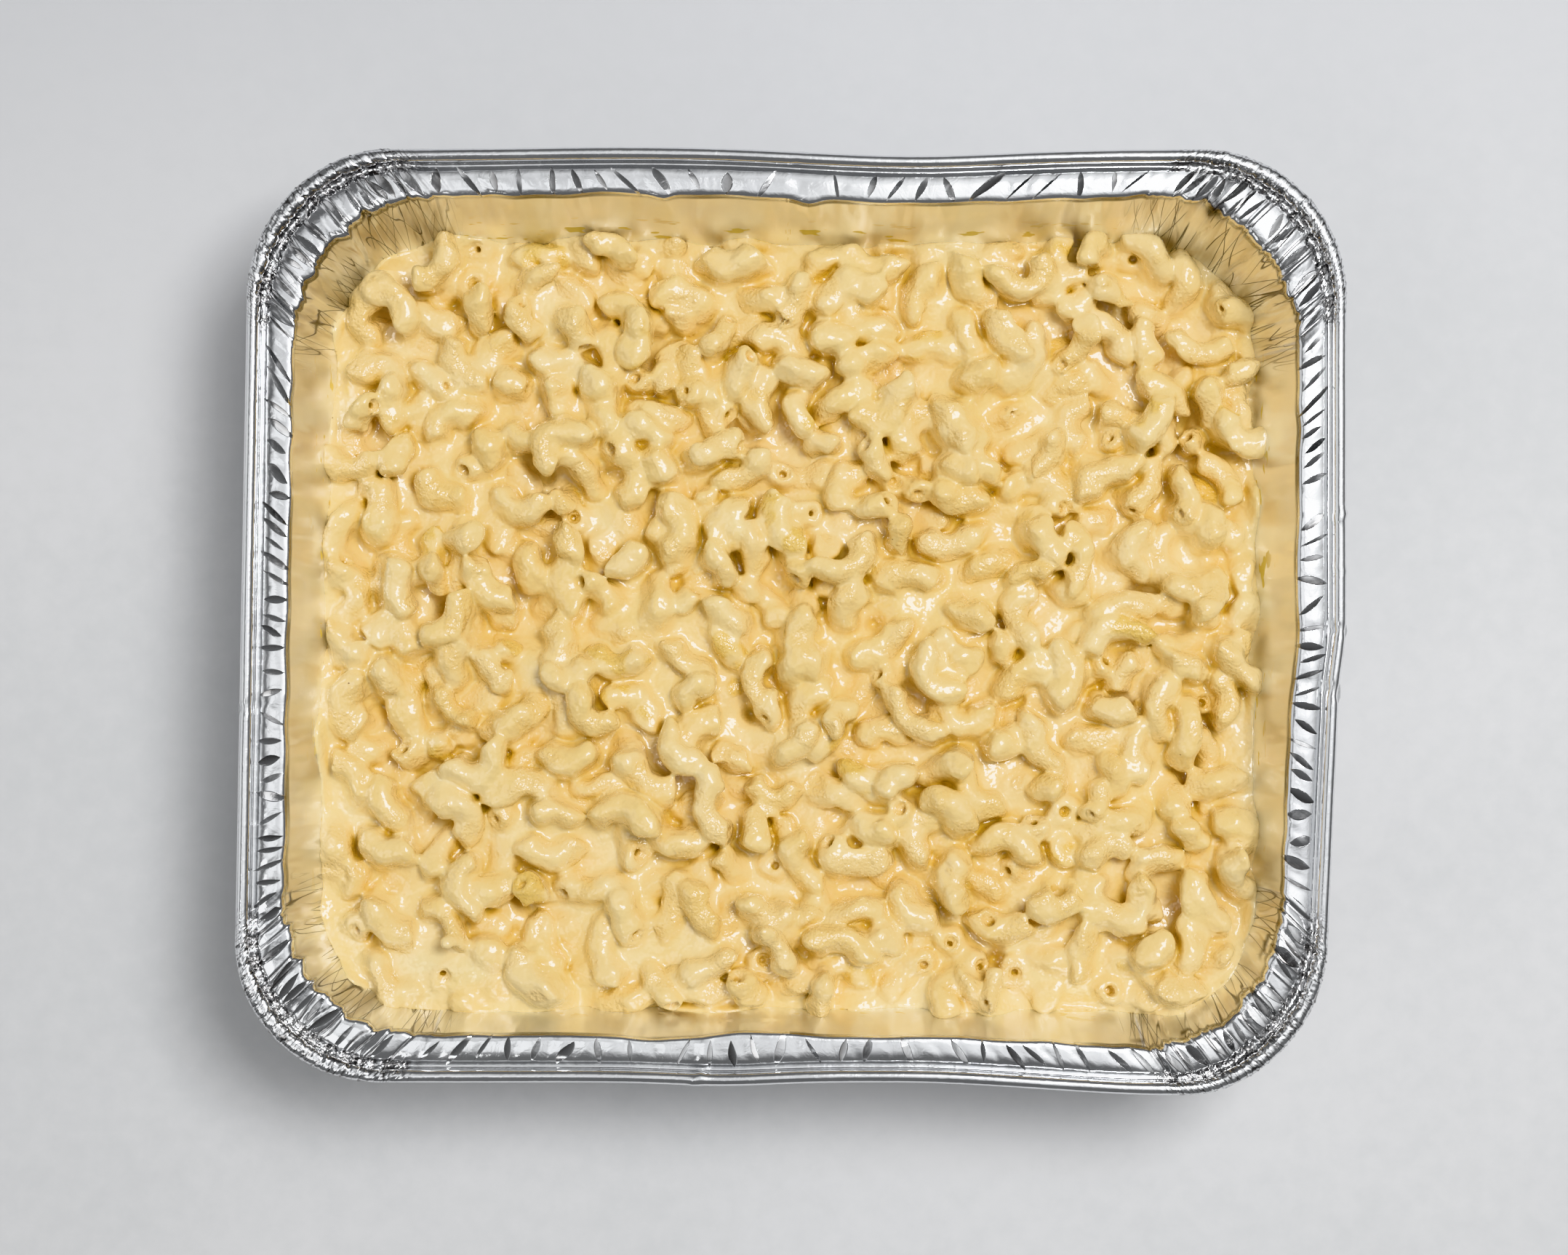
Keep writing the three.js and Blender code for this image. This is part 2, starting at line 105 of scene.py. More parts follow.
class Stream:
    """A repeatable stream of numbers from 0 to 1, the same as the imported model's."""

    MASK = 0xFFFFFFFF

    def __init__(self, seed):
        self.state = seed & self.MASK

    def __call__(self):
        self.state = (self.state + 0x6D2B79F5) & self.MASK
        t = self.state
        t = ((t ^ (t >> 15)) * (t | 1)) & self.MASK
        t ^= (t + (((t ^ (t >> 7)) * (t | 61)) & self.MASK)) & self.MASK
        return (t ^ (t >> 14)) / 4294967296


def lerp(a, b, t):
    return a + (b - a) * t


def smooth_step(low, high, value):
    t = np.clip((value - low) / (high - low), 0.0, 1.0)
    return t * t * (3 - 2 * t)


def bump(value, centre, width):
    return np.exp(-(((value - centre) / width) ** 2))


def smooth_min(a, b, k):
    h = np.maximum(k - np.abs(a - b), 0.0) / k
    return np.minimum(a, b) - 0.25 * k * h * h


def spline_weights(count, cell, offset):
    """Cubic B-spline weights that spread coarse values over count finer samples."""
    at = np.arange(count) / cell + offset
    low = np.floor(at).astype(int)
    t = at - low
    parts = (
        (1 - t) ** 3 / 6,
        (3 * t**3 - 6 * t**2 + 4) / 6,
        (-3 * t**3 + 3 * t**2 + 3 * t + 1) / 6,
        t**3 / 6,
    )
    weights = np.zeros((count, low.max() + 4))
    rows = np.arange(count)
    for k, part in enumerate(parts):
        weights[rows, low + k] = part
    return weights.astype(np.float32)


def noise_block(shape, cells, rng):
    """Smooth noise of about unit size on a grid, with a feature every cells samples."""
    weights = [spline_weights(n, c, rng.random()) for n, c in zip(shape, cells)]
    block = rng.standard_normal([w.shape[1] for w in weights]).astype(np.float32)
    for axis, weight in enumerate(weights):
        block = np.moveaxis(np.tensordot(weight, block, axes=(1, axis)), 0, axis)
    return block / max(float(block.std()), 1e-6)


def add_mesh(name, points_mm, faces):
    """A mesh object from points in millimetres and an array of triangles or quads."""
    mesh = bpy.data.meshes.new(name)
    points = np.asarray(points_mm, dtype=np.float32) * MM
    faces = np.asarray(faces, dtype=np.int32)
    sides = faces.shape[1]
    mesh.vertices.add(len(points))
    mesh.vertices.foreach_set("co", points.ravel())
    mesh.loops.add(faces.size)
    mesh.loops.foreach_set("vertex_index", faces.ravel())
    mesh.polygons.add(len(faces))
    mesh.polygons.foreach_set("loop_start", np.arange(0, faces.size, sides, dtype=np.int32))
    mesh.polygons.foreach_set("use_smooth", np.full(len(faces), True))
    mesh.update(calc_edges=True)
    mesh.validate()
    piece = bpy.data.objects.new(name, mesh)
    bpy.context.scene.collection.objects.link(piece)
    return piece


def set_values(piece, name, values):
    """Stores one number for each vertex under a name that materials can read."""
    layer = piece.data.attributes.new(name, "FLOAT", "POINT")
    layer.data.foreach_set("value", np.asarray(values, dtype=np.float32))


# ---- the tray's plan ------------------------------------------------------------------


def left_edge(y):
    return 157.9 - 0.018 * y


def right_edge(y):
    return 159.5 - 2.3 * smooth_step(0, 25, -y) - 0.045 * np.maximum(0, -y - 25)


def top_edge(x):
    return 135.4 - 1.9 * bump(x, 35, 38) + 0.7 * bump(x, -45, 40)


def bottom_edge(x):
    return 132.5 + bump(x, -20, 20) + 3.6 * smooth_step(30, 110, x)


def dent(x, y, z):
    """How far a point of the plan is moved by the dents in the rim."""
    strength = 0.08 + 0.92 * np.minimum(1, np.maximum(z, 0) / FLANGE_Z) ** 1.4
    whole_x = np.where(x > 0, right_edge(y) - RIM_HALF_X, RIM_HALF_X - left_edge(y))
    whole_y = np.where(y > 0, top_edge(x) - RIM_HALF_Y, RIM_HALF_Y - bottom_edge(x))
    share_x = smooth_step(0.5, 0.95, np.abs(x) / RIM_HALF_X)
    share_y = smooth_step(0.5, 0.95, np.abs(y) / RIM_HALF_Y)
    return strength * share_x * whole_x, strength * share_y * whole_y


def wall_inset(z):
    return WALL_TOP_INSET + WALL_SLOPE * (WALL_TOP_Z - z)


def wall_radius(z):
    return lerp(FLOOR_CORNER_R, FLANGE_CORNER_R, (z - WALL_FOOT_Z) / (WALL_TOP_Z - WALL_FOOT_Z))


def rim_distance(x, y, z, inset, radius):
    """Signed distance to a rounded rectangle inset from the dented rim, negative inside."""
    dx, dy = dent(x, y, z)
    over_x = np.abs(x - dx) - (RIM_HALF_X - inset - radius)
    over_y = np.abs(y - dy) - (RIM_HALF_Y - inset - radius)
    outside = np.hypot(np.maximum(over_x, 0), np.maximum(over_y, 0))
    return outside + np.minimum(np.maximum(over_x, over_y), 0) - radius


def wall_distance(x, y, z):
    """Signed distance to the wall's inner face, negative inside the tray."""
    return rim_distance(x, y, z, wall_inset(z), wall_radius(z))


def inside_wall(x, y, margin):
    """Is a point of the plan inside the wall at the food's level by at least a margin?"""
    z = SAUCE_LEVEL + 3
    return rim_distance(x, y, z, wall_inset(z) + margin, max(8.0, wall_radius(z) - margin)) <= 0


# ---- foil tray ------------------------------------------------------------------------

CORNER_STEPS = 190  # stations on each corner's arc
LONG_STEPS = 170
SHORT_STEPS = 135
CORNER_RUN = 54.0  # length of a corner's arc along the flange's middle
STRAIGHT_INSET = 49.4  # from the bead's end of a side to where the side runs straight
LONG_RUN = 2 * (RIM_HALF_X - STRAIGHT_INSET)
SHORT_RUN = 2 * (RIM_HALF_Y - STRAIGHT_INSET)
SIDE_RUNS = (LONG_RUN, SHORT_RUN, LONG_RUN, SHORT_RUN)  # each side follows its corner
WHOLE_RUN = 4 * CORNER_RUN + sum(SIDE_RUNS)
CORNER_MIDDLES = [CORNER_RUN * (k + 0.5) + sum(SIDE_RUNS[:k]) for k in range(4)]

BEAD_CENTRE, BEAD_R = (1.95, 62.7), 1.85
EDGE_INSET = 13.2  # of the flange's inner edge, where it turns down into the wall
PLEATS = 18  # at each corner
WALL_CREASES = 16  # at each corner
CORNER_MARK_SPACING = 3.1
SIDE_MARKS = (  # spacing, lean, height and share shown of the marks across each side's flange
    (8.5, 0.05, 0.3, 0.75), (5.6, 0.3, 0.34, 0.9), (8.0, -0.25, 0.34, 0.75), (5.4, -0.12, 0.34, 0.92),
)
PINCHES = (  # corner, run past its middle, depth and width of dents in the inner edge
    (0, 131.0, 1.5, 4.0), (0, 175.0, 1.1, 3.0), (2, 123.0, 2.0, 15.0),
)
CREASES = (  # corner, run past its middle, height and half width of folds over the bead
    (0, -83.5, 0.5, 0.9), (0, -97.9, 0.5, 0.9), (0, 134.0, -0.5, 0.9), (0, -115.0, -0.7, 1.2),
    (0, -131.0, -0.9, 1.6), (1, 136.0, -0.5, 0.9), (2, 111.0, 0.8, 1.3),
)


def foil_stations():
    """Stations round the plan: shares of the half sizes, direction, and length run so far."""
    parts = []
    at = 0.0
    for quadrant, (sx, sy) in enumerate(CORNERS):
        nx, ny = CORNERS[(quadrant + 1) % 4]
        share = np.arange(CORNER_STEPS) / CORNER_STEPS
        still = np.ones(CORNER_STEPS)
        parts.append([sx * still, sy * still, (quadrant + share) * math.pi / 2, at + share * CORNER_RUN])
        at += CORNER_RUN
        steps = LONG_STEPS if quadrant % 2 == 0 else SHORT_STEPS
        share = np.arange(steps) / steps
        # Closer stations next to the corners, where the pleats run out.
        share = share - 0.4 * np.sin(2 * math.pi * share) / (2 * math.pi)
        turned = np.full(steps, (quadrant + 1) * math.pi / 2)
        parts.append([lerp(sx, nx, share), lerp(sy, ny, share), turned, at + share * SIDE_RUNS[quadrant]])
        at += SIDE_RUNS[quadrant]
    return np.hstack(parts)


def plan_points(fx, fy, angle, inset, radius, z):
    """Points on rounded rectangles inset from the bead's outer edge."""
    x = fx * (RIM_HALF_X - inset - radius) + radius * np.cos(angle)
    y = fy * (RIM_HALF_Y - inset - radius) + radius * np.sin(angle)
    dx, dy = dent(x, y, z)
    return x + dx - CENTRE_X, y + dy


def arc(centre, radius, first, last, count):
    """Points of a section on a circle, by angle from the outward level, upwards."""
    angles = np.radians(np.linspace(first, last, count))
    return [(centre[0] - radius * math.cos(a), centre[1] + radius * math.sin(a)) for a in angles]


def foil_section():
    """The section from the middle of the floor's upper face out to the bead, round it and
    back under to the middle of the floor: inset from the bead's edge, and height."""
    foot = wall_inset(WALL_FOOT_Z)
    upper = [(foot + 14, FOIL), (foot + 10, FOIL), (foot + 5, FOIL), (foot + 3.2, FOIL + 0.15)]
    upper += [(foot + 1.6, 1.3), (foot + 0.6, 2.9), (foot, WALL_FOOT_Z)]
    for z in (13, 22, 29, 32.5, 35, 37.5, 40, 42, 44, 46, 48, 50, 52, 54, 55.7, 57.2, 58.4):
        upper.append((wall_inset(z), z))
    upper += [(13.52, 59.9), (13.38, 60.7), (13.05, 61.25), (12.45, 61.55), (11.4, 61.68)]
    upper += [(10.0, 61.72), (9.1, 61.78), (8.2, 61.76), (7.3, 61.66), (6.5, 61.5), (5.8, 61.25)]
    upper += [(5.3, 60.95), (4.85, 60.72), (4.4, 60.7), (4.0, 60.95), (3.75, 61.4)]
    upper += arc(BEAD_CENTRE, BEAD_R, 190, 20, 10)
    under = arc(BEAD_CENTRE, BEAD_R, 0, -80, 4)
    under += [(3.3, 60.5), (5.2, 60.35), (7.0, 61.05), (10.8, 61.1), (12.5, 60.2), (13.1, 58.0)]
    for z in (50, 38, 22, 5.5):
        under.append((wall_inset(z) - FOIL, z))
    under += [(foot + 0.8, 1.3), (foot + 3.0, 0.05), (foot + 10, 0.0)]
    under += [(foot + 11.2, 0.35), (foot + 14, 0.4)]
    return np.array(upper), np.array(under)


def from_place(run, place):
    """How far each station is past a place on the rim, the shorter way round."""
    return (run - place + WHOLE_RUN / 2) % WHOLE_RUN - WHOLE_RUN / 2


def folded(run, places, heights, groove, width):
    """Flat facets between folds: heights at the folds, joined by straight slopes, with a
    narrow groove or ridge along each fold."""
    order = np.argsort(places)
    value = np.interp(run, places[order], heights[order])
    nearest = np.abs(run[..., None] - places[order]).argmin(axis=-1)
    away = np.abs(run - places[order][nearest])
    return value + groove[order][nearest] * np.maximum(0, 1 - away / width)


def random_folds(run, reach, count, stray, heights, grooves, width, rng):
    """Folds at about even distances, with heights and grooves drawn between two limits."""
    places = np.linspace(-reach, reach, count) + rng.uniform(-stray, stray, count)
    return folded(run, places, rng.uniform(*heights, count), rng.uniform(*grooves, count), width)


class Sheet:
    """The foil: a row for each point of its section, a column for each station."""

    def __init__(self):
        self.fx, self.fy, self.angle, self.run = foil_stations()
        upper, under = foil_section()
        section = np.vstack([upper, under])
        inset, height = section[:, :1], section[:, 1:]
        self.inset, self.height = inset, height
        self.upper = np.arange(len(section))[:, None] < len(upper)
        # Which way the food's side of the sheet looks along the section.
        along = np.gradient(section, axis=0)
        along /= np.hypot(along[:, 0], along[:, 1])[:, None]
        self.face_inset = np.where(self.upper, along[:, 1:], -along[:, 1:])
        self.face_z = np.where(self.upper, -along[:, :1], along[:, :1])
        # Shares of the flange between bead and inner edge, of the bead, and of the wall.
        flange = smooth_step(14.4, 12.6, inset) * smooth_step(40, 58, height)
        self.band = flange * smooth_step(3.6, 5.8, inset)
        self.bead = smooth_step(4.6, 3.4, inset) * (height > 55)
        self.wall = (1 - smooth_step(58.5, 60.0, height)) * smooth_step(6, 30, height)
        self.across = np.clip(inset, 0, 14)
        shape = (len(section), len(self.run))
        self.lift = np.zeros(shape)  # off the plain sheet, to the food's side
        self.shift = np.zeros(shape)  # inwards, of the flange's inner edge
        self.fold = np.zeros(shape)  # painted shade along the pleats' lines


def pleat_corner(sheet, middle, rng):
    """Pleats and crimps of one corner, with creases that run on down the wall."""
    local = from_place(sheet.run, middle)
    near = np.abs(local) < 44
    here = local[near][None, :]
    across, inset, height = sheet.across, sheet.inset, sheet.height
    inside = smooth_step(34, 26, np.abs(here))
    depth = np.clip((61.5 - height) / 30.0, 0, 1)
    # The folds' lines wander as they cross the flange and go down the wall.
    wander = 0.0
    for _ in range(3):
        length, phase = rng.uniform(7, 22), rng.uniform(0, 6.28)
        wander = wander + rng.uniform(0.3, 0.9) * np.sin(here / length * 6.28 + phase + across / 5)
    at = here + wander * (across - 8) / 8 + 2.2 * depth * np.sin(here / 9 + middle)
    places = np.linspace(-31, 31, PLEATS) + rng.uniform(-1.6, 1.6, PLEATS)
    heights = rng.uniform(-0.65, 0.65, PLEATS)
    groove = rng.choice([-1.0, 1.0], PLEATS, p=[0.65, 0.35]) * rng.uniform(0.2, 0.5, PLEATS)
    pleat = folded(at, places, heights, groove, 0.42)
    # Painted shade along each pleat's line across the flange, stronger on some pleats than on others.
    line = folded(at, places, 0 * heights, rng.uniform(0.3, 1.0, PLEATS), 0.4)
    sheet.fold[:, near] += line * sheet.band * inside
    fine = random_folds(at + 0.5 * np.sin(across), 32, 47, 0.5, (-0.1, 0.1), (-0.16, 0.1), 0.35, rng)
    crimped = here + 0.6 * np.sin(across * 2.1)
    crimp = random_folds(crimped, 33, 44, 0.7, (-0.24, 0.24), (-0.4, 0.1), 0.34, rng)
    on_bead = 0.75 * sheet.bead + 0.9 * bump(inset, 4.6, 1.3) * (height > 55)
    part = sheet.band * (0.95 * pleat + 0.5 * fine) + on_bead * crimp
    part = part + sheet.wall * (1 - 0.75 * depth) * (0.4 * pleat + 0.15 * fine)
    sheet.lift[:, near] += part * inside
    edge = folded(here, places, rng.uniform(-0.5, 0.7, PLEATS), groove * 1.2, 0.8)
    sheet.shift[:, near] += bump(inset, EDGE_INSET, 1.6) * (height > 50) * edge * inside
    # Sharp creases that start at the flange and end somewhere down the wall.
    for _ in range(WALL_CREASES):
        place, lean = rng.uniform(-31, 31), rng.uniform(-0.16, 0.16)
        top, low = rng.uniform(54, 61), rng.uniform(22, 42)
        off_line = here - place - lean * (58 - height) - 0.5 * np.sin(height / 4 + place)
        reach = smooth_step(low - 3, low + 3, height) * smooth_step(top + 1.5, top - 1.5, height)
        size = rng.uniform(0.15, 0.35) * rng.choice([-1, 1], p=[0.7, 0.3])
        sheet.lift[:, near] += sheet.wall * reach * size * np.maximum(0, 1 - np.abs(off_line) / 0.5)


def mark_flange(sheet, rng):
    """Dimples across the straight sides' flange, and the cells of the material's marks."""
    run, inset = sheet.run, sheet.inset
    from_corner = np.min([np.abs(from_place(run, middle)) for middle in CORNER_MIDDLES], axis=0)
    dimpled = 0.6 * sheet.band * smooth_step(25, 31, from_corner)
    sheet.lens = 0.7 * sheet.band * smooth_step(29, 26, from_corner)
    sheet.pace = np.full(len(run), CORNER_MARK_SPACING)
    sheet.slant = np.broadcast_to(run / CORNER_MARK_SPACING, sheet.lift.shape).copy()
    uneven = run + 2.0 * np.sin(run / 13 + 1) + 0.9 * np.sin(run / 5.1)
    for corner, (spacing, lean, size, share) in enumerate(SIDE_MARKS):
        first = CORNER_MIDDLES[corner] + CORNER_RUN / 2
        last = first + SIDE_RUNS[corner]
        on_side = (run >= first) & (run < last)
        sheet.lens[:, on_side] += (share * sheet.band * smooth_step(29, 33, from_corner))[:, on_side]
        clear = on_side & (from_corner > 29)
        sheet.slant[:, clear] = ((uneven - lean * (sheet.across - 9.5)) / spacing)[:, clear]
        sheet.pace[clear] = spacing
        place = first - 4
        while place < last + 4:
            tilt = lean * rng.uniform(0.3, 1.7) + rng.uniform(-0.15, 0.15)
            middle_inset = rng.uniform(8.4, 10.6)
            long, wide = rng.uniform(2.2, 3.8), rng.uniform(0.8, 1.5)
            local = from_place(run, place)[None, :] - tilt * (inset - middle_inset)
            dimple = bump(inset, middle_inset, long) * np.exp(-np.abs(local / wide) ** 1.7)
            sign = rng.choice([-1.0, 1.0], p=[0.8, 0.2])
            sheet.lift += dimpled * sign * size * rng.uniform(0.5, 1.3) * dimple
            place += spacing * rng.uniform(0.6, 1.4)


def notch_corner(sheet):
    """A deep almond-shaped notch in the inner edge of the first corner, with painted shade in it."""
    at = from_place(sheet.run, CORNER_MIDDLES[0] + 12.6)
    notch = bump(at, 0, 3.0)[None, :] * bump(sheet.inset, EDGE_INSET, 1.0) * (sheet.height > 52)
    sheet.fold += 1.2 * notch
    sheet.lift -= 0.7 * notch


def unsettle(sheet, rng):
    """Gentle unevenness of the whole sheet, and of the flange's inner edge."""
    rows, count = sheet.lift.shape
    seam = smooth_step(0, 40, np.minimum(np.arange(count), count - np.arange(count)))

    def uneven(rows, *cells):
        return noise_block((rows, count + 1), cells, rng)[:, :count] * seam

    sheet.lift += 0.05 * uneven(rows, 9, 26) * (sheet.band + 0.6 * sheet.wall)
    sheet.lift += 0.16 * uneven(rows, 16, 60) * (0.5 * sheet.band + sheet.wall)
    sheet.lift += 0.03 * uneven(rows, 3, 9) * (sheet.bead + sheet.band)
    sheet.shift += 0.28 * uneven(1, 1, 5) * bump(sheet.inset, EDGE_INSET, 1.6) * (sheet.height > 50)
    # The wall lies flat where the food touches it.
    x, y = plan_points(sheet.fx, sheet.fy, sheet.angle, sheet.inset, 36.0, sheet.height)
    clear = smooth_step(2.0, 9.0, sheet.height - sauce_height(x, y))
    sheet.lift *= np.where(sheet.height < WALL_TOP_Z, clear, 1.0)


def pinch_and_crease(sheet):
    """The single dents and folds that stand out."""
    inset, height = sheet.inset, sheet.height
    for corner, past, inwards, width in PINCHES:
        local = from_place(sheet.run, CORNER_MIDDLES[corner] + past)[None, :]
        sheet.shift += inwards * bump(local, 0, width) * bump(inset, EDGE_INSET, 2.2) * (height > 46)
    for corner, past, size, width in CREASES:
        local = from_place(sheet.run, CORNER_MIDDLES[corner] + past)[None, :] - 0.12 * (inset - 4)
        sheet.lift += (sheet.bead + 0.5 * sheet.band) * size * np.maximum(0, 1 - np.abs(local) / width)


def sheet_points(sheet):
    inset = sheet.inset + sheet.face_inset * sheet.lift + sheet.shift
    height = sheet.height + sheet.face_z * sheet.lift
    foot = wall_inset(WALL_FOOT_Z)
    rim_radius = lerp(FLANGE_CORNER_R, CORNER_R, smooth_step(WALL_TOP_INSET, 0.5, sheet.inset))
    side_radius = wall_radius(np.maximum(sheet.height, WALL_FOOT_Z))
    radius = np.where(sheet.height > WALL_TOP_Z, rim_radius, side_radius)
    on_floor = (sheet.height < WALL_FOOT_Z) & (sheet.inset > foot)
    radius = np.where(on_floor, np.maximum(FLOOR_CORNER_R - (sheet.inset - foot), 8), radius)
    x, y = plan_points(sheet.fx, sheet.fy, sheet.angle, inset, radius, height)
    # The last two points are the middles of the floor's two faces.
    return np.vstack([np.stack([x, y, height], axis=-1).reshape(-1, 3), [[0, 0, FOIL], [0, 0, 0.4]]])


def sheet_triangles(rows, count):
    ring = np.arange(count)
    after = (ring + 1) % count
    bands = []
    for row in range(rows - 1):
        a, b = row * count + ring, row * count + after
        bands.append(np.stack([a, a + count, b + count, b], axis=1))
    quads = np.vstack(bands)
    last = (rows - 1) * count
    upper_middle = np.full(count, rows * count)
    upper_cap = np.stack([ring, after, upper_middle], axis=1)
    under_cap = np.stack([last + after, last + ring, upper_middle + 1], axis=1)
    return np.vstack([quads[:, [0, 1, 2]], quads[:, [0, 2, 3]], upper_cap, under_cap])[:, ::-1]


def build_foil():
    sheet = Sheet()
    rng = np.random.default_rng(77)
    for middle in CORNER_MIDDLES:
        pleat_corner(sheet, middle, rng)
    mark_flange(sheet, rng)
    notch_corner(sheet)
    unsettle(sheet, rng)
    pinch_and_crease(sheet)
    shape = sheet.lift.shape
    piece = add_mesh("foil_pan", sheet_points(sheet), sheet_triangles(*shape))

    # What the material needs to know of each point of the sheet.
    past = np.array([from_place(sheet.run, middle) for middle in CORNER_MIDDLES])
    corner = np.abs(past).argmin(axis=0)
    past_nearest = past[corner, np.arange(shape[1])]
    on_rim = sheet.height > 58.5
    values = {
        "wall": sheet.wall,
        "around": past_nearest + 200.0 * corner,
        "down": np.where(on_rim, sheet.inset, WALL_TOP_INSET + WALL_TOP_Z - sheet.height),
        "corner": smooth_step(37, 26, np.abs(past_nearest)),
        # Painted shade of the pleats' lines and of the notch.
        "fold": sheet.fold,
        "lens": sheet.lens,
        "slant": sheet.slant,
        "pace": sheet.pace,
        "food_side": sheet.upper,
    }
    for name, value in values.items():
        set_values(piece, name, np.append(np.broadcast_to(value, shape).ravel(), [0, 0]))
    return piece


# ---- elbows ---------------------------------------------------------------------------


def sauce_height(x, y):
    dome = SAUCE_DOME * np.maximum(0, 1 - ((x / 138) ** 2 + (y / 114) ** 2))
    wave = 0.9 * np.sin(x / 19 + 1.3) * np.sin(y / 23 + 0.4)
    ripple = 0.5 * np.sin(x / 8.7 + y / 13 + 0.8) * np.cos(y / 9.1 - x / 15)
    return SAUCE_LEVEL + SAUCE_TILT * y + dome + wave + ripple


def food_top(x, y):
    """The height at which elbows lie: the sauce's, and more where they form a clump."""
    clump = CLUMP_HEIGHT * bump(np.hypot(x - CLUMP_X, y - CLUMP_Y), 0, CLUMP_REACH)
    return float(sauce_height(x, y) + clump)


class Elbow:
    """A bent tube: the middle of its bend, the way its open side faces, and its turn."""

    def __init__(self, kind, x, y, heading, radius, draw):
        self.kind, self.x, self.y = kind, x, y
        self.heading, self.radius = heading, radius
        self.roll = 0.0
        self.tube = TUBE_R + 0.05
        self.edge = 1.35
        self.open = kind == "upturned"
        base = food_top(x, y)
        if kind == "loose":
            self.length = ELBOW_LENGTH * (0.45 + 0.38 * draw())
            self.tip = math.radians(120 * (draw() - 0.5))
            self.roll = math.radians(90 * (draw() - 0.5))
            self.z = base + 0.6 + 3.0 * draw()
            return
        self.length = ELBOW_LENGTH * (0.9 + 0.2 * draw())
        if kind == "flat":
            self.tip = math.radians(24 * (draw() - 0.5))
            self.roll = math.radians(26 * (draw() - 0.5))
            self.z = base + 1.6 + 2.2 * draw()
        elif kind == "arched":
            self.tip = math.radians(48 + 24 * draw())
            self.roll = math.radians(14 * (draw() - 0.5))
            self.z = base + 2.6 + 2 * draw()
        else:
            self.tip = -math.radians(68 + 14 * draw())
            rise = radius * math.sin(-self.tip) * (1 - math.cos(self.length / radius / 2))
            self.z = base + 3.4 - rise + 1.2 * draw()

    def centre(self):
        return np.array([self.x, self.y, self.z])

    def directions(self):
        """Unit vectors from the bend's middle inwards, and along the tube there."""
        h, tip, roll = self.heading, self.tip, self.roll
        inward = np.array([math.cos(h) * math.cos(tip), math.sin(h) * math.cos(tip), -math.sin(tip)])
        if self.kind == "loose":
            level = np.array([-math.sin(h), math.cos(h), 0.0])
            return inward, level * math.cos(roll) + np.cross(inward, level) * math.sin(roll)
        along = np.array([-math.sin(h) * math.cos(roll), math.cos(h) * math.cos(roll), math.sin(roll)])
        return inward, along

    def middle_line(self, steps):
        inward, along = self.directions()
        angle = self.length / self.radius * (np.arange(steps + 1) / steps - 0.5)
        line = self.centre() + np.outer(self.radius * (1 - np.cos(angle)), inward)
        return line + np.outer(self.radius * np.sin(angle), along)

    def footprint(self):
        inside = 0.45 * self.radius * math.cos(self.tip)
        return [self.x + inside * math.cos(self.heading), self.y + inside * math.sin(self.heading)]


def drawn_place(draw, half_x, half_y):
    return (draw() - 0.5) * 2 * half_x, (draw() - 0.5) * 2 * half_y


def over_place(kind, x, y, heading, radius, draw):
    """An elbow set back so that its footprint, and not its bend, is at x, y."""
    back = 0.45 * radius if kind == "flat" else 0.2 * radius
    return Elbow(kind, x - back * math.cos(heading), y - back * math.sin(heading), heading, radius, draw)


def is_free(x, y, middles, spacing, margin):
    """Is a place of the plan inside the wall and away from every footprint?"""
    away = np.hypot(*(np.array(middles) - (x, y)).T)
    return away.min() >= spacing and inside_wall(x, y, margin)


def crowding(line, others):
    """How much a middle line runs into those already laid."""
    near = others[((others[:, 2] - line[2]) ** 2).sum(axis=1) <= 1100]
    if not len(near):
        return 0.0
    apart = np.sqrt(((near[:, None, :, :] - line[None, :, None, :]) ** 2).sum(axis=-1))
    return float((np.maximum(0, CROWD_REACH - apart) ** 2).sum())


def lay_elbows():
    """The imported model's own elbows, laid by the same rule, and their footprints."""
    draw = Stream(FILL_SEED)
    elbows = []
    for x, y, facing, radius in LAID_FLAT:
        elbows.append(Elbow("flat", x, y, math.radians(facing), radius, draw))
    for x, y, facing in LAID_ARCHED:
        elbows.append(Elbow("arched", x, y, math.radians(facing), 7.6, draw))
    for x, y, facing in LAID_UPTURNED:
        elbows.append(Elbow("upturned", x, y, math.radians(facing), 5.6, draw))
    lines = [elbow.middle_line(4) for elbow in elbows]
    middles = [elbow.footprint() for elbow in elbows]
    for _ in range(6000):
        if len(elbows) >= ELBOW_COUNT:
            break
        x, y = drawn_place(draw, 136, 112)
        if not is_free(x, y, middles, ELBOW_SPACING, 5):
            continue
        tries = []
        for _ in range(10):
            lot = draw()
            kind = "flat" if lot < 0.66 else "arched" if lot < 0.9 else "upturned"
            radius = 5.2 + 0.8 * draw() if kind == "upturned" else 5.8 + 3.6 * draw()
            elbow = over_place(kind, x, y, 2 * math.pi * draw(), radius, draw)
            line = elbow.middle_line(4)
            outside = (~inside_wall(line[:, 0], line[:, 1], 4)).sum()
            tries.append((crowding(line, np.array(lines)) + 40 * outside, elbow, line))
        _, elbow, line = min(tries, key=lambda one: one[0])
        elbows.append(elbow)
        lines.append(line)
        middles.append([x, y])
    return elbows, middles


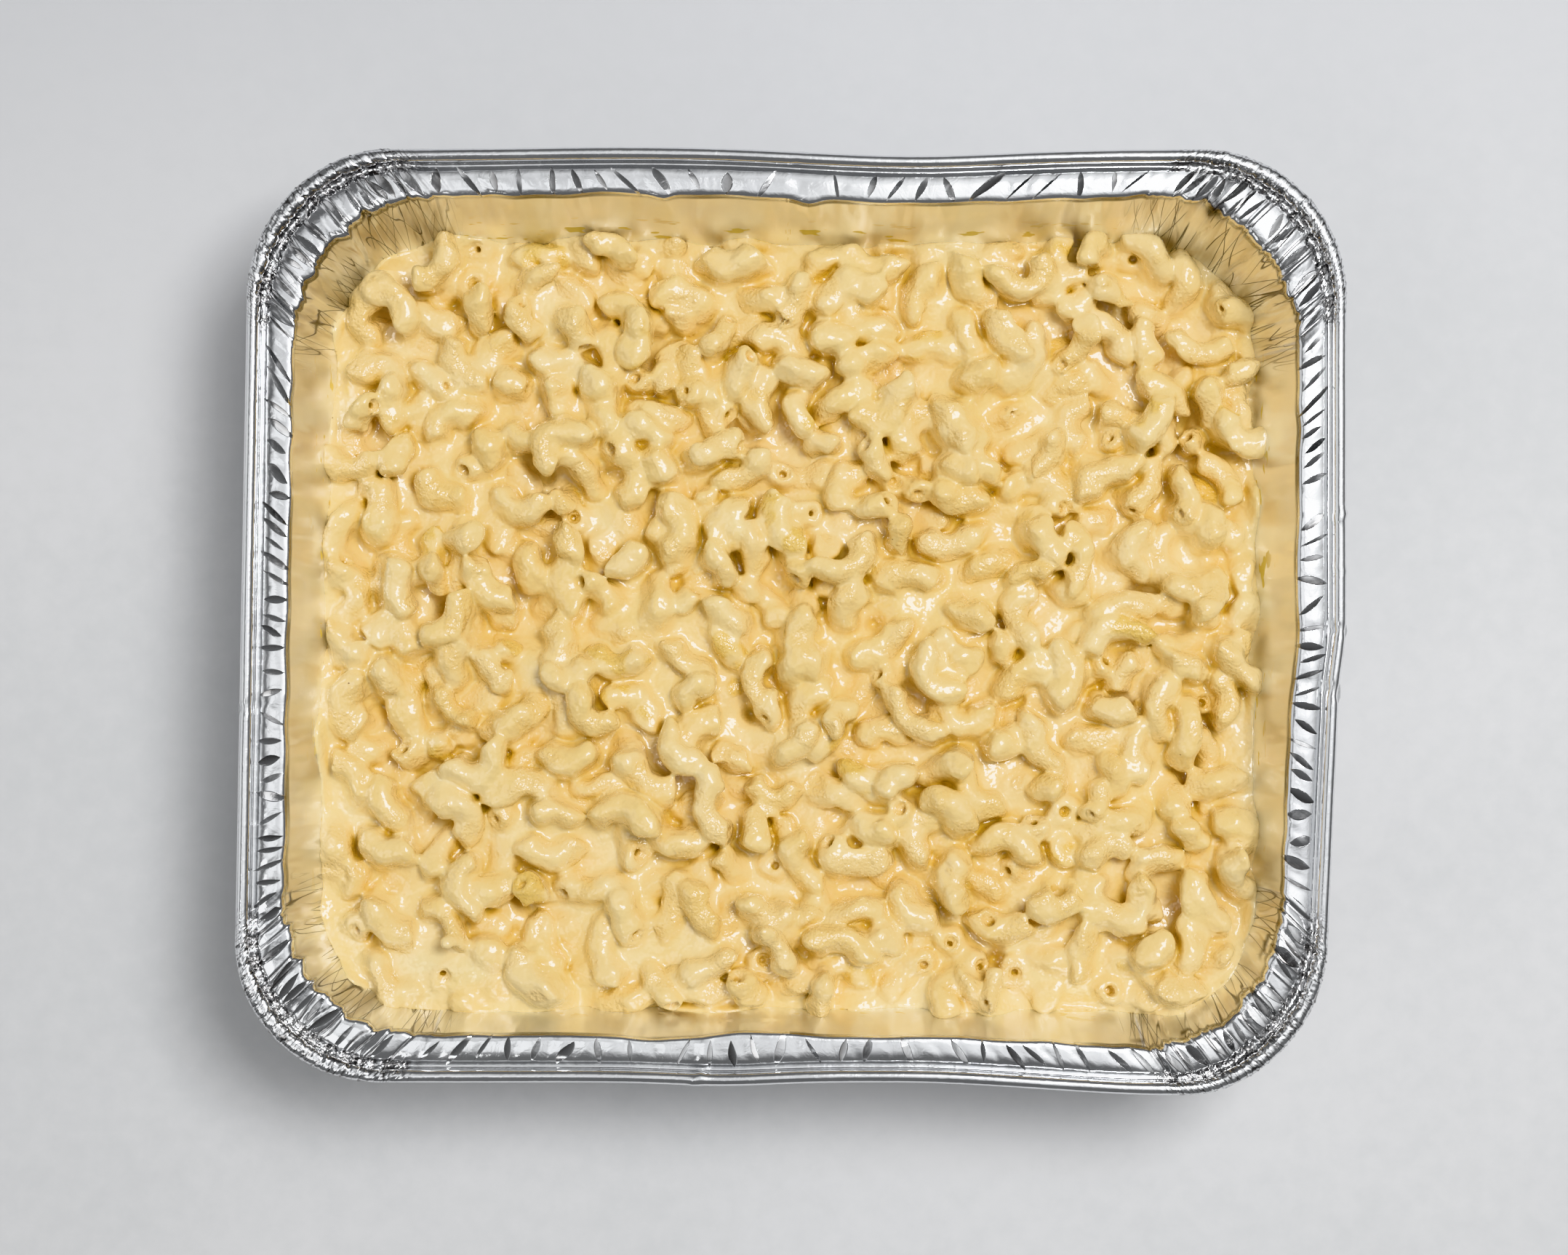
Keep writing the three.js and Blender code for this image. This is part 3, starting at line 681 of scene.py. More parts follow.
LOWER_SEED = 917
LOWER_COUNT = 560  # elbows that lie lower between the others
LOWER_SPACING = 5.3
OPEN_END_COUNT = 44
OPEN_ENDS = [  # x, y, heading and slope of short tubes that show their open end
    (101, 32, 200, 48), (106, 26, 20, 52), (101, 15, 250, 60), (-70, 36, 150, 66),
    (-83, -6, 40, 58), (118, 55, 120, 62), (-132, 18, 10, 50), (-18, 61, 300, 55),
    (-127, -48, 60, 56), (-8, -29, 210, 70), (-115, -38, 95, 52), (-103, -40, 265, 52),
]
POOLS = [  # x, y, half length, half width and rise of the smooth pools of sauce
    (-75, -14, 9, 7, 1.6), (-117, -88, 20, 17, 2.2), (-35, -98, 20, 8, 2.0),
    (132, -24, 6, 14, 2.2), (14, -2, 8, 7, 1.4), (35, 5, 7, 6, 1.4), (60, 108, 22, 5, 2.0),
    (-132, 60, 5, 24, 1.6), (-60, -60, 12, 8, 1.4), (70, -55, 7, 9, 1.2), (113, 99, 12, 5, 3.6),
    (-128, -62, 7, 16, 1.8), (-92, -100, 16, 6, 1.8),
]


def pool_shape(x, y, pool):
    """How much a place belongs to one pool of sauce, from 0 to 1."""
    away = ((x - pool[0]) / pool[2]) ** 2 + ((y - pool[1]) / pool[3]) ** 2
    return np.exp(-(away**1.5))


def heap(x, y):
    """How much the pile rises and falls over the width of a few elbows."""
    slow = 1.4 * math.sin(x / 16.5 + 2.1) * math.sin(y / 14.5 + 1.2)
    return slow + 0.8 * math.sin(x / 9.3 - y / 14.0 + 0.6)


def open_end(x, y, heading, slope, draw):
    """A short tube that points up out of the sauce, with the middle of its cut at x, y."""
    elbow = Elbow("loose", x, y, math.radians(heading), 9.5, draw)
    elbow.length, elbow.tip, elbow.roll = 14.0, 0.0, math.radians(slope)
    elbow.tube, elbow.edge, elbow.open = 3.75, 1.3, True
    tip = elbow.middle_line(2)[2]
    elbow.x += x - tip[0]
    elbow.y += y - tip[1]
    elbow.z += food_top(x, y) + 4.6 + heap(x, y) - tip[2]
    return elbow


def free_moves(elbow, placed):
    """How far an elbow has to rise, or to sink, to rest against those already laid."""
    line = elbow.middle_line(6)
    if not len(placed):
        return 0.0, 0.0
    away = np.hypot(line[:, None, 0] - placed[None, :, 0], line[:, None, 1] - placed[None, :, 1])
    apart = 0.9 * (elbow.tube + placed[None, :, 3])
    tall = np.sqrt(np.maximum(apart**2 - away**2, 0))
    gap = placed[None, :, 2] - line[:, None, 2]
    close = tall > 0
    rise = np.where(close, gap + tall, -99).max()
    sink = np.where(close, tall - gap, -99).max()
    return max(0.0, float(rise)), max(0.0, float(sink))


def settle(elbow, placed, most_up, most_down):
    """Moves an elbow up or down out of the others, as far as is allowed. Says how far it
    is still inside them, and how far it had to go."""
    rise, sink = free_moves(elbow, placed)
    if rise * 1.1 <= sink:
        elbow.z += min(rise, most_up)
        return max(0.0, rise - most_up), rise
    elbow.z -= min(sink, most_down)
    return max(0.0, sink - most_down), sink


def with_spots(placed, elbow):
    """The points and radii already laid, with those of one more elbow."""
    line = elbow.middle_line(6)
    return np.vstack([placed, np.column_stack([line, np.full(len(line), elbow.tube)])])


def let_down(elbows):
    """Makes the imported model's elbows uneven and lets them rest on each other."""
    placed = np.zeros((0, 4))
    for number, elbow in enumerate(elbows):
        elbow.tube += 0.3 * math.sin(number * 1.7)
        elbow.length *= 0.86
        elbow.edge += 0.4 * math.sin(number * 2.9)
        elbow.open = elbow.open and number % 3 == 0
        elbow.z += heap(elbow.x, elbow.y)
        settle(elbow, placed, 1.8, 3.0)
        placed = with_spots(placed, elbow)
    return placed


def lay_open_ends(elbows, middles, placed, draw):
    """Adds the short tubes that show their open ends."""
    ends = list(OPEN_ENDS)
    for _ in range(400):
        x, y = drawn_place(draw, 132, 108)
        if len(ends) < OPEN_END_COUNT and min(math.hypot(x - e[0], y - e[1]) for e in ends) > 19:
            if inside_wall(x, y, 8):
                ends.append((x, y, 360 * draw(), 42 + 30 * draw()))
    for x, y, heading, slope in ends:
        elbows.append(open_end(x, y, heading, slope, draw))
        placed = with_spots(placed, elbows[-1])
        middles.append([x, y])
    return placed


def lay_lower(elbows, middles, placed, draw):
    """Adds more elbows, sunk deeper, in the gaps between the others."""
    enough = len(elbows) + LOWER_COUNT
    for _ in range(7000):
        if len(elbows) >= enough:
            break
        x, y = drawn_place(draw, 137, 113)
        if not is_free(x, y, middles, LOWER_SPACING, 3.6):
            continue
        if max(pool_shape(x, y, pool) for pool in POOLS) > 0.25 + 0.6 * draw():
            continue
        tries = []
        near = placed[np.hypot(placed[:, 0] - x, placed[:, 1] - y) < 32]
        for _ in range(8):
            lot = draw()
            kind = "flat" if lot < 0.4 else "arched" if lot < 0.5 else "loose"
            radius = 5.6 + 4.4 * draw()
            elbow = over_place(kind, x, y, 2 * math.pi * draw(), radius, draw)
            elbow.z += heap(elbow.x, elbow.y) - 2.8 * draw() + 0.6
            elbow.tube += 0.9 * draw() - 0.75
            elbow.edge = 1.0 + 0.9 * draw()
            line = elbow.middle_line(4)
            outside = (~inside_wall(line[:, 0], line[:, 1], 4.2)).sum()
            left, moved = settle(elbow, near, 3.0, 3.4)
            tries.append((3 * left + moved + 6 * outside, left, elbow))
        _, left, elbow = min(tries, key=lambda one: one[0])
        if left <= 1.2:
            elbows.append(elbow)
            placed = with_spots(placed, elbow)
            middles.append([x, y])


def lay_all():
    elbows, middles = lay_elbows()
    placed = let_down(elbows)
    draw = Stream(LOWER_SEED)
    placed = lay_open_ends(elbows, middles, placed, draw)
    lay_lower(elbows, middles, placed, draw)
    return elbows


# ---- macaroni in sauce ----------------------------------------------------------------

VOXEL = 0.6
FIELD_LOW = (-143.0, -119.0, 20.0)
FIELD_HIGH = (142.0, 117.5, 54.0)
FOOD_FACES = 190000
FOOD_BOTTOM = 1.2
WARP = 0.6  # how far the elbows' shapes stray from true arcs
COAT = 0.4  # the sauce on the elbows, where it is neither thick nor thin
HOLLOWS = [  # x, y, width and depth of the gaps between elbows where no sauce shows
    (-122, 93, 2.6, 7), (-102, 96, 2.6, 7), (-86, 96, 2.4, 6), (31, 76, 3.2, 7),
    (86, 86, 2.6, 6), (102, 88, 3, 7), (89, 96, 2.2, 5), (111, 55, 2.8, 6),
    (117, 61, 2.4, 6), (107, 18, 3.4, 7), (104, 7, 3.6, 7), (64, -2, 3.2, 7),
    (41, 24, 2.6, 5), (-74, 53, 3, 6), (-74, 44, 3.2, 8), (-74, 34, 3.6, 8),
    (-18, 55, 3, 6), (-111, 42, 2.8, 5), (-112, -22, 2.6, 6), (-112, -47, 2.6, 6),
    (-12, -28, 3, 6), (15, 31, 2.2, 5), (25, -1, 2.4, 5), (99, -27, 3, 6),
    (-37, -82, 3, 6), (94, -60, 2.6, 6), (61, -101, 2.8, 6), (-103, 4, 3, 6),
]
BARE = [  # x, y of pasta that shows through its film of sauce
    (-71, 25), (17, 19), (57, 67), (67, 62), (26, -84), (48, -6), (-14, -24), (-44, -47),
    (34, 15), (35, -28), (73, -38), (89, -36), (99, -69), (125, -84), (-127, -80), (80, 101),
]


class Grid:
    """The block of samples in which the food's surface is worked out."""

    def __init__(self):
        self.low = np.array(FIELD_LOW)
        self.shape = tuple(np.ceil((np.array(FIELD_HIGH) - self.low) / VOXEL).astype(int) + 1)
        axes = [self.low[k] + VOXEL * np.arange(self.shape[k]) for k in range(3)]
        self.plan_x, self.plan_y = axes[0][:, None], axes[1][None, :]
        self.x = axes[0][:, None, None].astype(np.float32)
        self.y = axes[1][None, :, None].astype(np.float32)
        self.z = axes[2][None, None, :].astype(np.float32)
        self.rng = np.random.default_rng(5)

    def noise(self, feature):
        """Smooth noise through the block, with features of a size in millimetres."""
        return noise_block(self.shape, [feature / VOXEL] * 3, self.rng)

    def plan_noise(self, feature):
        return noise_block(self.shape[:2], [feature / VOXEL] * 2, self.rng)

    def plan_bump(self, x, y, width):
        return bump(np.hypot(self.plan_x - x, self.plan_y - y), 0, width)

    def box(self, low, high):
        """The part of the block between two points."""
        first = np.maximum(np.floor((low - self.low) / VOXEL).astype(int), 0)
        last = np.minimum(np.ceil((high - self.low) / VOXEL).astype(int) + 1, self.shape)
        return tuple(slice(a, max(a, b)) for a, b in zip(first, last))

    def spots(self, box):
        return self.x[box[0]], self.y[:, box[1]], self.z[:, :, box[2]]


def bed_level(grid):
    """The height of the sauce between the elbows, over the plan."""
    plain = sauce_height(grid.plan_x, grid.plan_y)
    level = plain - 1.7 + 1.7 * grid.plan_noise(13)
    for pool in POOLS:
        level = level + (pool[4] + 1.2) * pool_shape(grid.plan_x, grid.plan_y, pool)
    level = level + 0.35 * grid.plan_noise(5)
    for x, y, width, deep in HOLLOWS:
        level = level - deep * grid.plan_bump(x, y, width)
    # The sauce lies fuller along the wall and climbs it a little where they meet.
    to_wall = np.minimum(wall_distance(grid.plan_x + CENTRE_X, grid.plan_y, level), 0)
    strip = plain - 1.0 + 1.7 * grid.plan_noise(11)
    level = lerp(level, strip, 0.85 * np.exp(-((to_wall / 5.0) ** 2)))
    climb = np.clip(1.4 + 2.2 * grid.plan_noise(7), 0.3, 6.0)
    level = level + climb * np.exp(to_wall / 1.1)
    return np.maximum(level, FIELD_LOW[2] + 3)


def elbow_distances(elbow, x, y, z):
    """Distances to the tube's side and beyond its nearer cut end."""
    inward, along = elbow.directions()
    along = along - inward * along.dot(inward)
    along /= np.linalg.norm(along)
    axis = np.cross(inward, along)
    dx, dy, dz = x - elbow.x, y - elbow.y, z - elbow.z
    u = dx * inward[0] + dy * inward[1] + dz * inward[2]
    v = dx * along[0] + dy * along[1] + dz * along[2]
    w = dx * axis[0] + dy * axis[1] + dz * axis[2]
    from_centre = elbow.radius - u
    turn = np.abs(np.arctan2(v, from_centre)) - elbow.length / elbow.radius / 2
    away = np.hypot(from_centre, v)
    side = np.hypot(away - elbow.radius, w) - elbow.tube
    end = away * np.sin(np.clip(turn, -math.pi / 2, math.pi / 2))
    return side, end


def rounded_both(a, b, edge):
    """What lies within both distances, with the edge between them rounded."""
    a, b = a + edge, b + edge
    return np.hypot(np.maximum(a, 0), np.maximum(b, 0)) + np.minimum(np.maximum(a, b), 0) - edge


def elbow_fields(grid, elbows):
    """Distances to the nearest elbow, to all of them joined, and which is the nearest."""
    warp = [WARP * grid.noise(7) for _ in range(3)]
    pasta = np.full(grid.shape, 9.0, dtype=np.float32)
    joined = pasta.copy()
    which = np.zeros(grid.shape, dtype=np.int16)
    reach = TUBE_R + 4.6
    for number, elbow in enumerate(elbows):
        line = elbow.middle_line(8)
        box = grid.box(line.min(axis=0) - reach, line.max(axis=0) + reach)
        spots = [spot + stray[box] for spot, stray in zip(grid.spots(box), warp)]
        side, end = elbow_distances(elbow, *spots)
        bare = rounded_both(side, end, elbow.edge).astype(np.float32)
        which[box][bare < pasta[box]] = number
        pasta[box] = np.minimum(pasta[box], bare)
        joined[box] = smooth_min(joined[box], bare, 1.4)
    return pasta, joined, which


def cut_open_ends(grid, field, elbows):
    """Gives a hole to the open ends that stand clear of everything."""
    for elbow in elbows:
        inward, along = elbow.directions()
        half = elbow.length / elbow.radius / 2
        for sign in (-1, 1):
            bow = inward * elbow.radius * (1 - math.cos(half))
            tip = elbow.centre() + bow + along * elbow.radius * math.sin(sign * half)
            onward = inward * math.sin(half) + along * math.cos(half) * sign
            at = np.round((tip + onward * 2.4 - grid.low) / VOXEL).astype(int)
            if (at < 0).any() or (at >= grid.shape).any() or field[tuple(at)] < 0.7:
                continue
            if grid.rng.random() > (0.95 if elbow.open else 0.3 * max(0.1, onward[2])):
                continue
            box = grid.box(tip - 6, tip + 6)
            px, py, pz = (spot - place for spot, place in zip(grid.spots(box), tip))
            down = px * onward[0] + py * onward[1] + pz * onward[2]
            off = np.sqrt(np.maximum(px**2 + py**2 + pz**2 - down**2, 0))
            draw = grid.rng.uniform
            hole = np.maximum(off - draw(0.8, 1.3), -(down + draw(2.0, 4.5)))
            dish = np.maximum(off - draw(1.7, 2.3), -(down + draw(0.2, 0.9)))
            hole = np.maximum(smooth_min(hole, dish, 0.6), down - 2.2)
            field[box] = -smooth_min(-field[box], hole, 0.6)


def food_field(grid, elbows):
    """Signed distance to the food, to the bare pasta, and which elbow is the nearest."""
    level = bed_level(grid)[:, :, None]
    bed = (grid.z - level.astype(np.float32)) * np.float32(0.93)
    coat = 0.3 * grid.noise(8) + 0.4 * grid.noise(4)
    fine = 0.27 * grid.noise(2.3)
    for x, y in BARE:
        coat -= (0.55 * grid.plan_bump(x, y, 5.5))[:, :, None].astype(np.float32)
    pasta, joined, which = elbow_fields(grid, elbows)
    # Sauce hangs from the elbows' sides and fills most of the room under them.
    hang = np.clip(0.35 * grid.plan_noise(11) - 0.08, -0.26, 1.0)
    for x, y, width, _ in HOLLOWS:
        hang = hang + 1.2 * grid.plan_bump(x, y, width + 2)
    coated = joined - COAT - coat
    for k in range(grid.shape[2] - 2, -1, -1):
        coated[:, :, k] = np.minimum(coated[:, :, k], coated[:, :, k + 1] + hang * VOXEL)
    field = box_blur(smooth_min(coated, bed, 2.9), 1)
    field -= fine * np.clip(1 - coated / 1.5, 0, 1)
    cut_open_ends(grid, field, elbows)
    # Only the uppermost few millimetres of the edge reach the wall.
    reach_wall = lerp(0.3, -0.25, smooth_step(-3.0, -7.0, grid.z - level)).astype(np.float32)
    wall = wall_distance(grid.x + CENTRE_X, grid.y, grid.z).astype(np.float32)
    return np.maximum(field, wall - reach_wall), pasta, which


CELL_CORNERS = [(i, j, k) for i in (0, 1) for j in (0, 1) for k in (0, 1)]


def surface_net(field, low):
    """Points and quads of the zero surface of a field sampled on a grid."""
    inside = field < 0
    nx, ny, nz = field.shape

    def at(c):
        return inside[c[0]:nx - 1 + c[0], c[1]:ny - 1 + c[1], c[2]:nz - 1 + c[2]]

    full = sum(at(c).astype(np.int8) for c in CELL_CORNERS)
    mixed = (full > 0) & (full < 8)
    cell = np.argwhere(mixed)
    number = np.full(mixed.shape, -1, dtype=np.int32)
    number[mixed] = np.arange(len(cell), dtype=np.int32)
    # Each point is the mean of where its cell's edges cross the surface.
    total = np.zeros((len(cell), 3))
    hits = np.zeros(len(cell))
    for a in CELL_CORNERS:
        for axis in range(3):
            if a[axis]:
                continue
            b = list(a)
            b[axis] = 1
            fa = field[cell[:, 0] + a[0], cell[:, 1] + a[1], cell[:, 2] + a[2]]
            fb = field[cell[:, 0] + b[0], cell[:, 1] + b[1], cell[:, 2] + b[2]]
            cross = (fa < 0) != (fb < 0)
            spot = np.tile(np.array(a, dtype=float), (cross.sum(), 1))
            spot[:, axis] += fa[cross] / (fa[cross] - fb[cross])
            total[cross] += spot
            hits[cross] += 1
    points = (cell + total / hits[:, None]) * VOXEL + low
    quads = []
    for axis in range(3):
        one, two = [k for k in range(3) if k != axis]
        lower = [slice(None)] * 3
        upper = [slice(None)] * 3
        lower[axis], upper[axis] = slice(0, -1), slice(1, None)
        start, stop = inside[tuple(lower)], inside[tuple(upper)]
        for flip, mask in ((False, start & ~stop), (True, ~start & stop)):
            spots = np.argwhere(mask)
            keep = (spots[:, one] > 0) & (spots[:, two] > 0)
            keep &= (spots[:, one] < field.shape[one] - 1) & (spots[:, two] < field.shape[two] - 1)
            spots = spots[keep]
            around = []
            for p, q in ((0, 0), (1, 0), (1, 1), (0, 1)):
                step = np.zeros(3, dtype=int)
                step[one], step[two] = -p, -q
                around.append(number[tuple((spots + step).T)])
            quad = np.stack(around, axis=1)
            # The other two axes are in cyclic order except for the middle one.
            quads.append(quad if flip != (axis != 1) else quad[:, ::-1])
    return points, np.vstack(quads)


def sampled(block, points, low):
    """A grid's values at points, by linear interpolation."""
    at = np.clip((points - low) / VOXEL, 0, np.array(block.shape) - 1.001)
    base = at.astype(int)
    shares = (1 - (at - base), at - base)
    value = 0.0
    for i, j, k in CELL_CORNERS:
        share = shares[i][:, 0] * shares[j][:, 1] * shares[k][:, 2]
        value = value + share * block[base[:, 0] + i, base[:, 1] + j, base[:, 2] + k]
    return value


def box_blur(block, reach):
    """A running mean along each axis, over a block of cells on each side."""
    width = 2 * reach + 1
    for axis in range(3):
        pad = [(0, 0)] * 3
        pad[axis] = (reach + 1, reach)
        run = np.cumsum(np.pad(block, pad, mode="edge"), axis=axis, dtype=np.float32)
        top = [slice(None)] * 3
        low = [slice(None)] * 3
        top[axis], low[axis] = slice(width, None), slice(0, -width)
        block = (run[tuple(top)] - run[tuple(low)]) / width
    return block


def make_fewer(piece, faces, wanted):
    """Joins a mesh's triangles into fewer, larger ones."""
    modifier = piece.modifiers.new("fewer", "DECIMATE")
    modifier.ratio = min(1.0, wanted / faces)
    graph = bpy.context.evaluated_depsgraph_get()
    mesh = bpy.data.meshes.new_from_object(piece.evaluated_get(graph))
    piece.modifiers.clear()
    old = piece.data
    piece.data = mesh
    bpy.data.meshes.remove(old)
    mesh.name = piece.name


def drop_loose_bits(shape):
    """Deletes every separate part of a mesh but the largest."""
    left = set(shape.verts)
    parts = []
    while left:
        front = [left.pop()]
        part = list(front)
        while front:
            vertex = front.pop()
            for edge in vertex.link_edges:
                other = edge.other_vert(vertex)
                if other in left:
                    left.remove(other)
                    front.append(other)
                    part.append(other)
        parts.append(part)
    parts.sort(key=len)
    for part in parts[:-1]:
        bmesh.ops.delete(shape, geom=part, context="VERTS")


def close_below(piece):
    """Carries the food's edge down the wall to the floor and closes it there."""
    shape = bmesh.new()
    shape.from_mesh(piece.data)
    drop_loose_bits(shape)
    edges = [edge for edge in shape.edges if len(edge.link_faces) == 1]
    for part in bmesh.ops.extrude_edge_only(shape, edges=edges)["geom"]:
        if isinstance(part, bmesh.types.BMVert):
            drop = part.co.z / MM - FOOD_BOTTOM
            inwards = (WALL_SLOPE * drop + 2.0) * MM
            part.co.x *= 1 - inwards / (RIM_HALF_X * MM * 0.88)
            part.co.y *= 1 - inwards / (RIM_HALF_Y * MM * 0.86)
            part.co.z = FOOD_BOTTOM * MM
    rim = [edge for edge in shape.edges if len(edge.link_faces) == 1]
    bmesh.ops.contextual_create(shape, geom=rim)
    bmesh.ops.recalc_face_normals(shape, faces=shape.faces)
    shape.to_mesh(piece.data)
    shape.free()


def vertex_vectors(mesh, name):
    values = np.empty(len(mesh.vertices) * 3, dtype=np.float32)
    mesh.vertices.foreach_get(name, values)
    return values.reshape(-1, 3)


def build_food():
    elbows = lay_all()
    grid = Grid()
    field, pasta, which = food_field(grid, elbows)
    points, quads = surface_net(field, grid.low)
    piece = add_mesh("macaroni_in_sauce", points, quads)
    make_fewer(piece, 2 * len(quads), FOOD_FACES)
    close_below(piece)

    # What the material needs to know of each point: the sauce over the pasta, how crowded the room before
    # it is, which sets the painted shade between elbows, and the number drawn for its elbow.
    spots = vertex_vectors(piece.data, "co") / MM
    ahead = spots + vertex_vectors(piece.data, "normal") * 2.6
    solid = np.clip(0.5 - field / VOXEL, 0, 1).astype(np.float32)
    reach = max(1, round(2.2 / VOXEL))
    crowd = box_blur(box_blur(solid, reach), reach)
    set_values(piece, "film", sampled(pasta, spots, grid.low))
    # The crowding ahead of each point, from which the painted shade in the gaps is drawn.
    set_values(piece, "gap", sampled(crowd, ahead, grid.low))
    nearest = np.round((spots - grid.low) / VOXEL).astype(int)
    number = which[tuple(np.clip(nearest, 0, np.array(grid.shape) - 1).T)]
    set_values(piece, "tint", np.random.default_rng(3).random(len(elbows) + 1)[number])
    return piece


# ---- materials ------------------------------------------------------------------------


class Nodes:
    """A material's nodes, made and joined in few words."""

    @classmethod
    def over(cls, owner):
        nodes = cls.__new__(cls)
        owner.use_nodes = True
        nodes.tree = owner.node_tree
        nodes.tree.nodes.clear()
        return nodes

    def __init__(self, name):
        self.material = bpy.data.materials.new(name)
        self.material.use_nodes = True
        self.tree = self.material.node_tree
        self.tree.nodes.clear()
        self.output = self.make("ShaderNodeOutputMaterial")
        self.shader = self.make("ShaderNodeBsdfPrincipled")
        self.join(self.shader.outputs[0], self.output.inputs[0])

    def make(self, kind, **settings):
        node = self.tree.nodes.new(kind)
        for key, value in settings.items():
            setattr(node, key, value)
        return node

    def join(self, source, target):
        self.tree.links.new(source, target)

    def put(self, socket, value):
        if isinstance(value, bpy.types.NodeSocket):
            self.join(value, socket)
        else:
            socket.default_value = value

    def put_all(self, node, **values):
        """Sets inputs by name, with an underscore for each space."""
        for key, value in values.items():
            self.put(node.inputs[key.replace("_", " ")], value)

    def place(self):
        return self.make("ShaderNodeTexCoord").outputs["Object"]

    def pair(self, x, y):
        node = self.make("ShaderNodeCombineXYZ")
        self.put_all(node, X=x, Y=y)
        return node.outputs[0]

    def noise(self, scale, detail=3.0, rough=0.5, vector=None, warp=0.0):
        node = self.make("ShaderNodeTexNoise")
        self.put(node.inputs["Vector"], vector if vector is not None else self.place())
        self.put_all(node, Scale=scale, Detail=detail, Roughness=rough, Distortion=warp)
        return node.outputs["Fac"]

    def cells(self, scale, vector=None, feature="F1"):
        node = self.make("ShaderNodeTexVoronoi", feature=feature)
        self.put(node.inputs["Vector"], vector if vector is not None else self.place())
        self.put_all(node, Scale=scale)
        return node.outputs

    def value(self, name):
        return self.make("ShaderNodeAttribute", attribute_name=name).outputs["Fac"]

    def fit(self, source, low, high, new_low=0.0, new_high=1.0, kind="SMOOTHSTEP"):
        node = self.make("ShaderNodeMapRange", interpolation_type=kind)
        self.put_all(node, Value=source, From_Min=low, From_Max=high, To_Min=new_low, To_Max=new_high)
        return node.outputs[0]

    def math(self, operation, a, b=0.0):
        node = self.make("ShaderNodeMath", operation=operation)
        self.put(node.inputs[0], a)
        self.put(node.inputs[1], b)
        return node.outputs[0]

    def chain(self, operation, first, *others):
        for other in others:
            first = self.math(operation, first, other)
        return first

    def times(self, *factors):
        return self.chain("MULTIPLY", *factors)

    def most(self, *values):
        return self.chain("MAXIMUM", *values)

    def without(self, share):
        return self.math("SUBTRACT", 1.0, share)

    def mix(self, share, a, b):
        node = self.make("ShaderNodeMix", data_type="RGBA")
        self.put(node.inputs["Factor"], share)
        self.put(node.inputs[6], a)
        self.put(node.inputs[7], b)
        return node.outputs[2]

    def bump(self, height, strength, distance, before=None):
        node = self.make("ShaderNodeBump")
        self.put_all(node, Strength=strength, Distance=distance, Height=height)
        if before is not None:
            self.join(before, node.inputs["Normal"])
        return node.outputs[0]


def paint(red, green, blue):
    """A colour from its screen values, 0 to 255."""
    def straight(v):
        v /= 255
        return v / 12.92 if v <= 0.04045 else ((v + 0.055) / 1.055) ** 2.4
    return (straight(red), straight(green), straight(blue), 1.0)


class FoilNodes(Nodes):
    """The foil's nodes, with the sheet's own measures: its shares of wall and corner, and
    the millimetres down from the bead's edge over the flange and the wall."""

    def __init__(self, name):
        super().__init__(name)
        self.wall, self.corner, self.down = self.value("wall"), self.value("corner"), self.value("down")
        self.at = self.pair(self.value("around"), self.down)

    def drawn(self, across, along, turn=0.0):
        """The sheet's own coordinates, stretched so that features run down the wall."""
        node = self.make("ShaderNodeMapping", vector_type="TEXTURE")
        self.put_all(node, Vector=self.at, Scale=(1 / across, 1 / along, 1.0), Rotation=(0, 0, turn))
        return node.outputs[0]

    def drawn_noise(self, detail, across, along, rough=0.5):
        return self.noise(1.0, detail, rough, self.drawn(across, along))

    def lines(self, width, across, along, turn=0.0):
        """Thin lines where a drawn-out noise passes through its middle value."""
        noise = self.noise(1.0, 0, 0.5, self.drawn(across, along, turn))
        return self.fit(self.math("ABSOLUTE", self.math("SUBTRACT", noise, 0.5)), width, 0.0)

    def between(self, start, full, last, end):
        """A belt of the sheet by its distance from the bead's edge, with soft borders."""
        return self.times(self.fit(self.down, start, full), self.fit(self.down, end, last))


def lens_marks(n):
    """Almond-shaped creases across the flange, one to a cell: the painted reflection on them, darker on one
    side, and the height of the tilted facet, in millimetres, that each of them makes."""
    slant, share, pace = n.value("slant"), n.value("lens"), n.value("pace")
    cell = n.math("FLOOR", slant)

    def draw(number, low, high):
        node = n.make("ShaderNodeTexWhiteNoise", noise_dimensions="1D")
        n.join(n.math("ADD", cell, number + 0.37), node.inputs["W"])
        return n.fit(node.outputs["Value"], 0.0, 1.0, low, high, kind="LINEAR")

    from_middle = n.math("SUBTRACT", n.down, draw(200, 8.4, 10.2))
    lean = n.times(from_middle, draw(300, -0.09, 0.09))
    away = n.times(n.chain("SUBTRACT", slant, cell, draw(100, 0.36, 0.64), lean), pace)
    along = n.math("DIVIDE", from_middle, draw(400, 2.9, 4.9))
    taper = n.most(n.without(n.times(along, along)), 0.001)
    ratio = n.math("DIVIDE", away, n.times(taper, draw(500, 0.6, 1.6)))
    shown = n.math("LESS_THAN", draw(600, 0.0, 1.0), n.times(share, 1.05))
    inside = n.times(n.fit(n.math("ABSOLUTE", ratio), 1.05, 0.85), shown)
    side = n.fit(ratio, -1.0, 1.0, 1.0, 0.2, kind="LINEAR")
    way = n.math("SIGN", draw(700, -0.5, 1.0))
    slope = n.times(away, draw(800, 0.35, 1.3), way)
    # Painted reflection: darker grey on one side of each mark, fading towards the other.
    painted_reflection = n.times(inside, side, draw(900, 0.3, 0.85))
    return painted_reflection, n.times(slope, inside)


def wall_ripples(n):
    """Soft folds that run down the straight walls from the flange and fade out."""
    run = n.times(n.value("slant"), n.value("pace"))
    place = n.pair(n.times(run, 0.14), n.times(n.down, 0.035))
    strength = n.times(n.wall, n.fit(n.down, 40, 16, 0.5, 2.6), n.without(n.corner))
    return n.times(n.noise(1.0, 1, 0.5, place), strength)


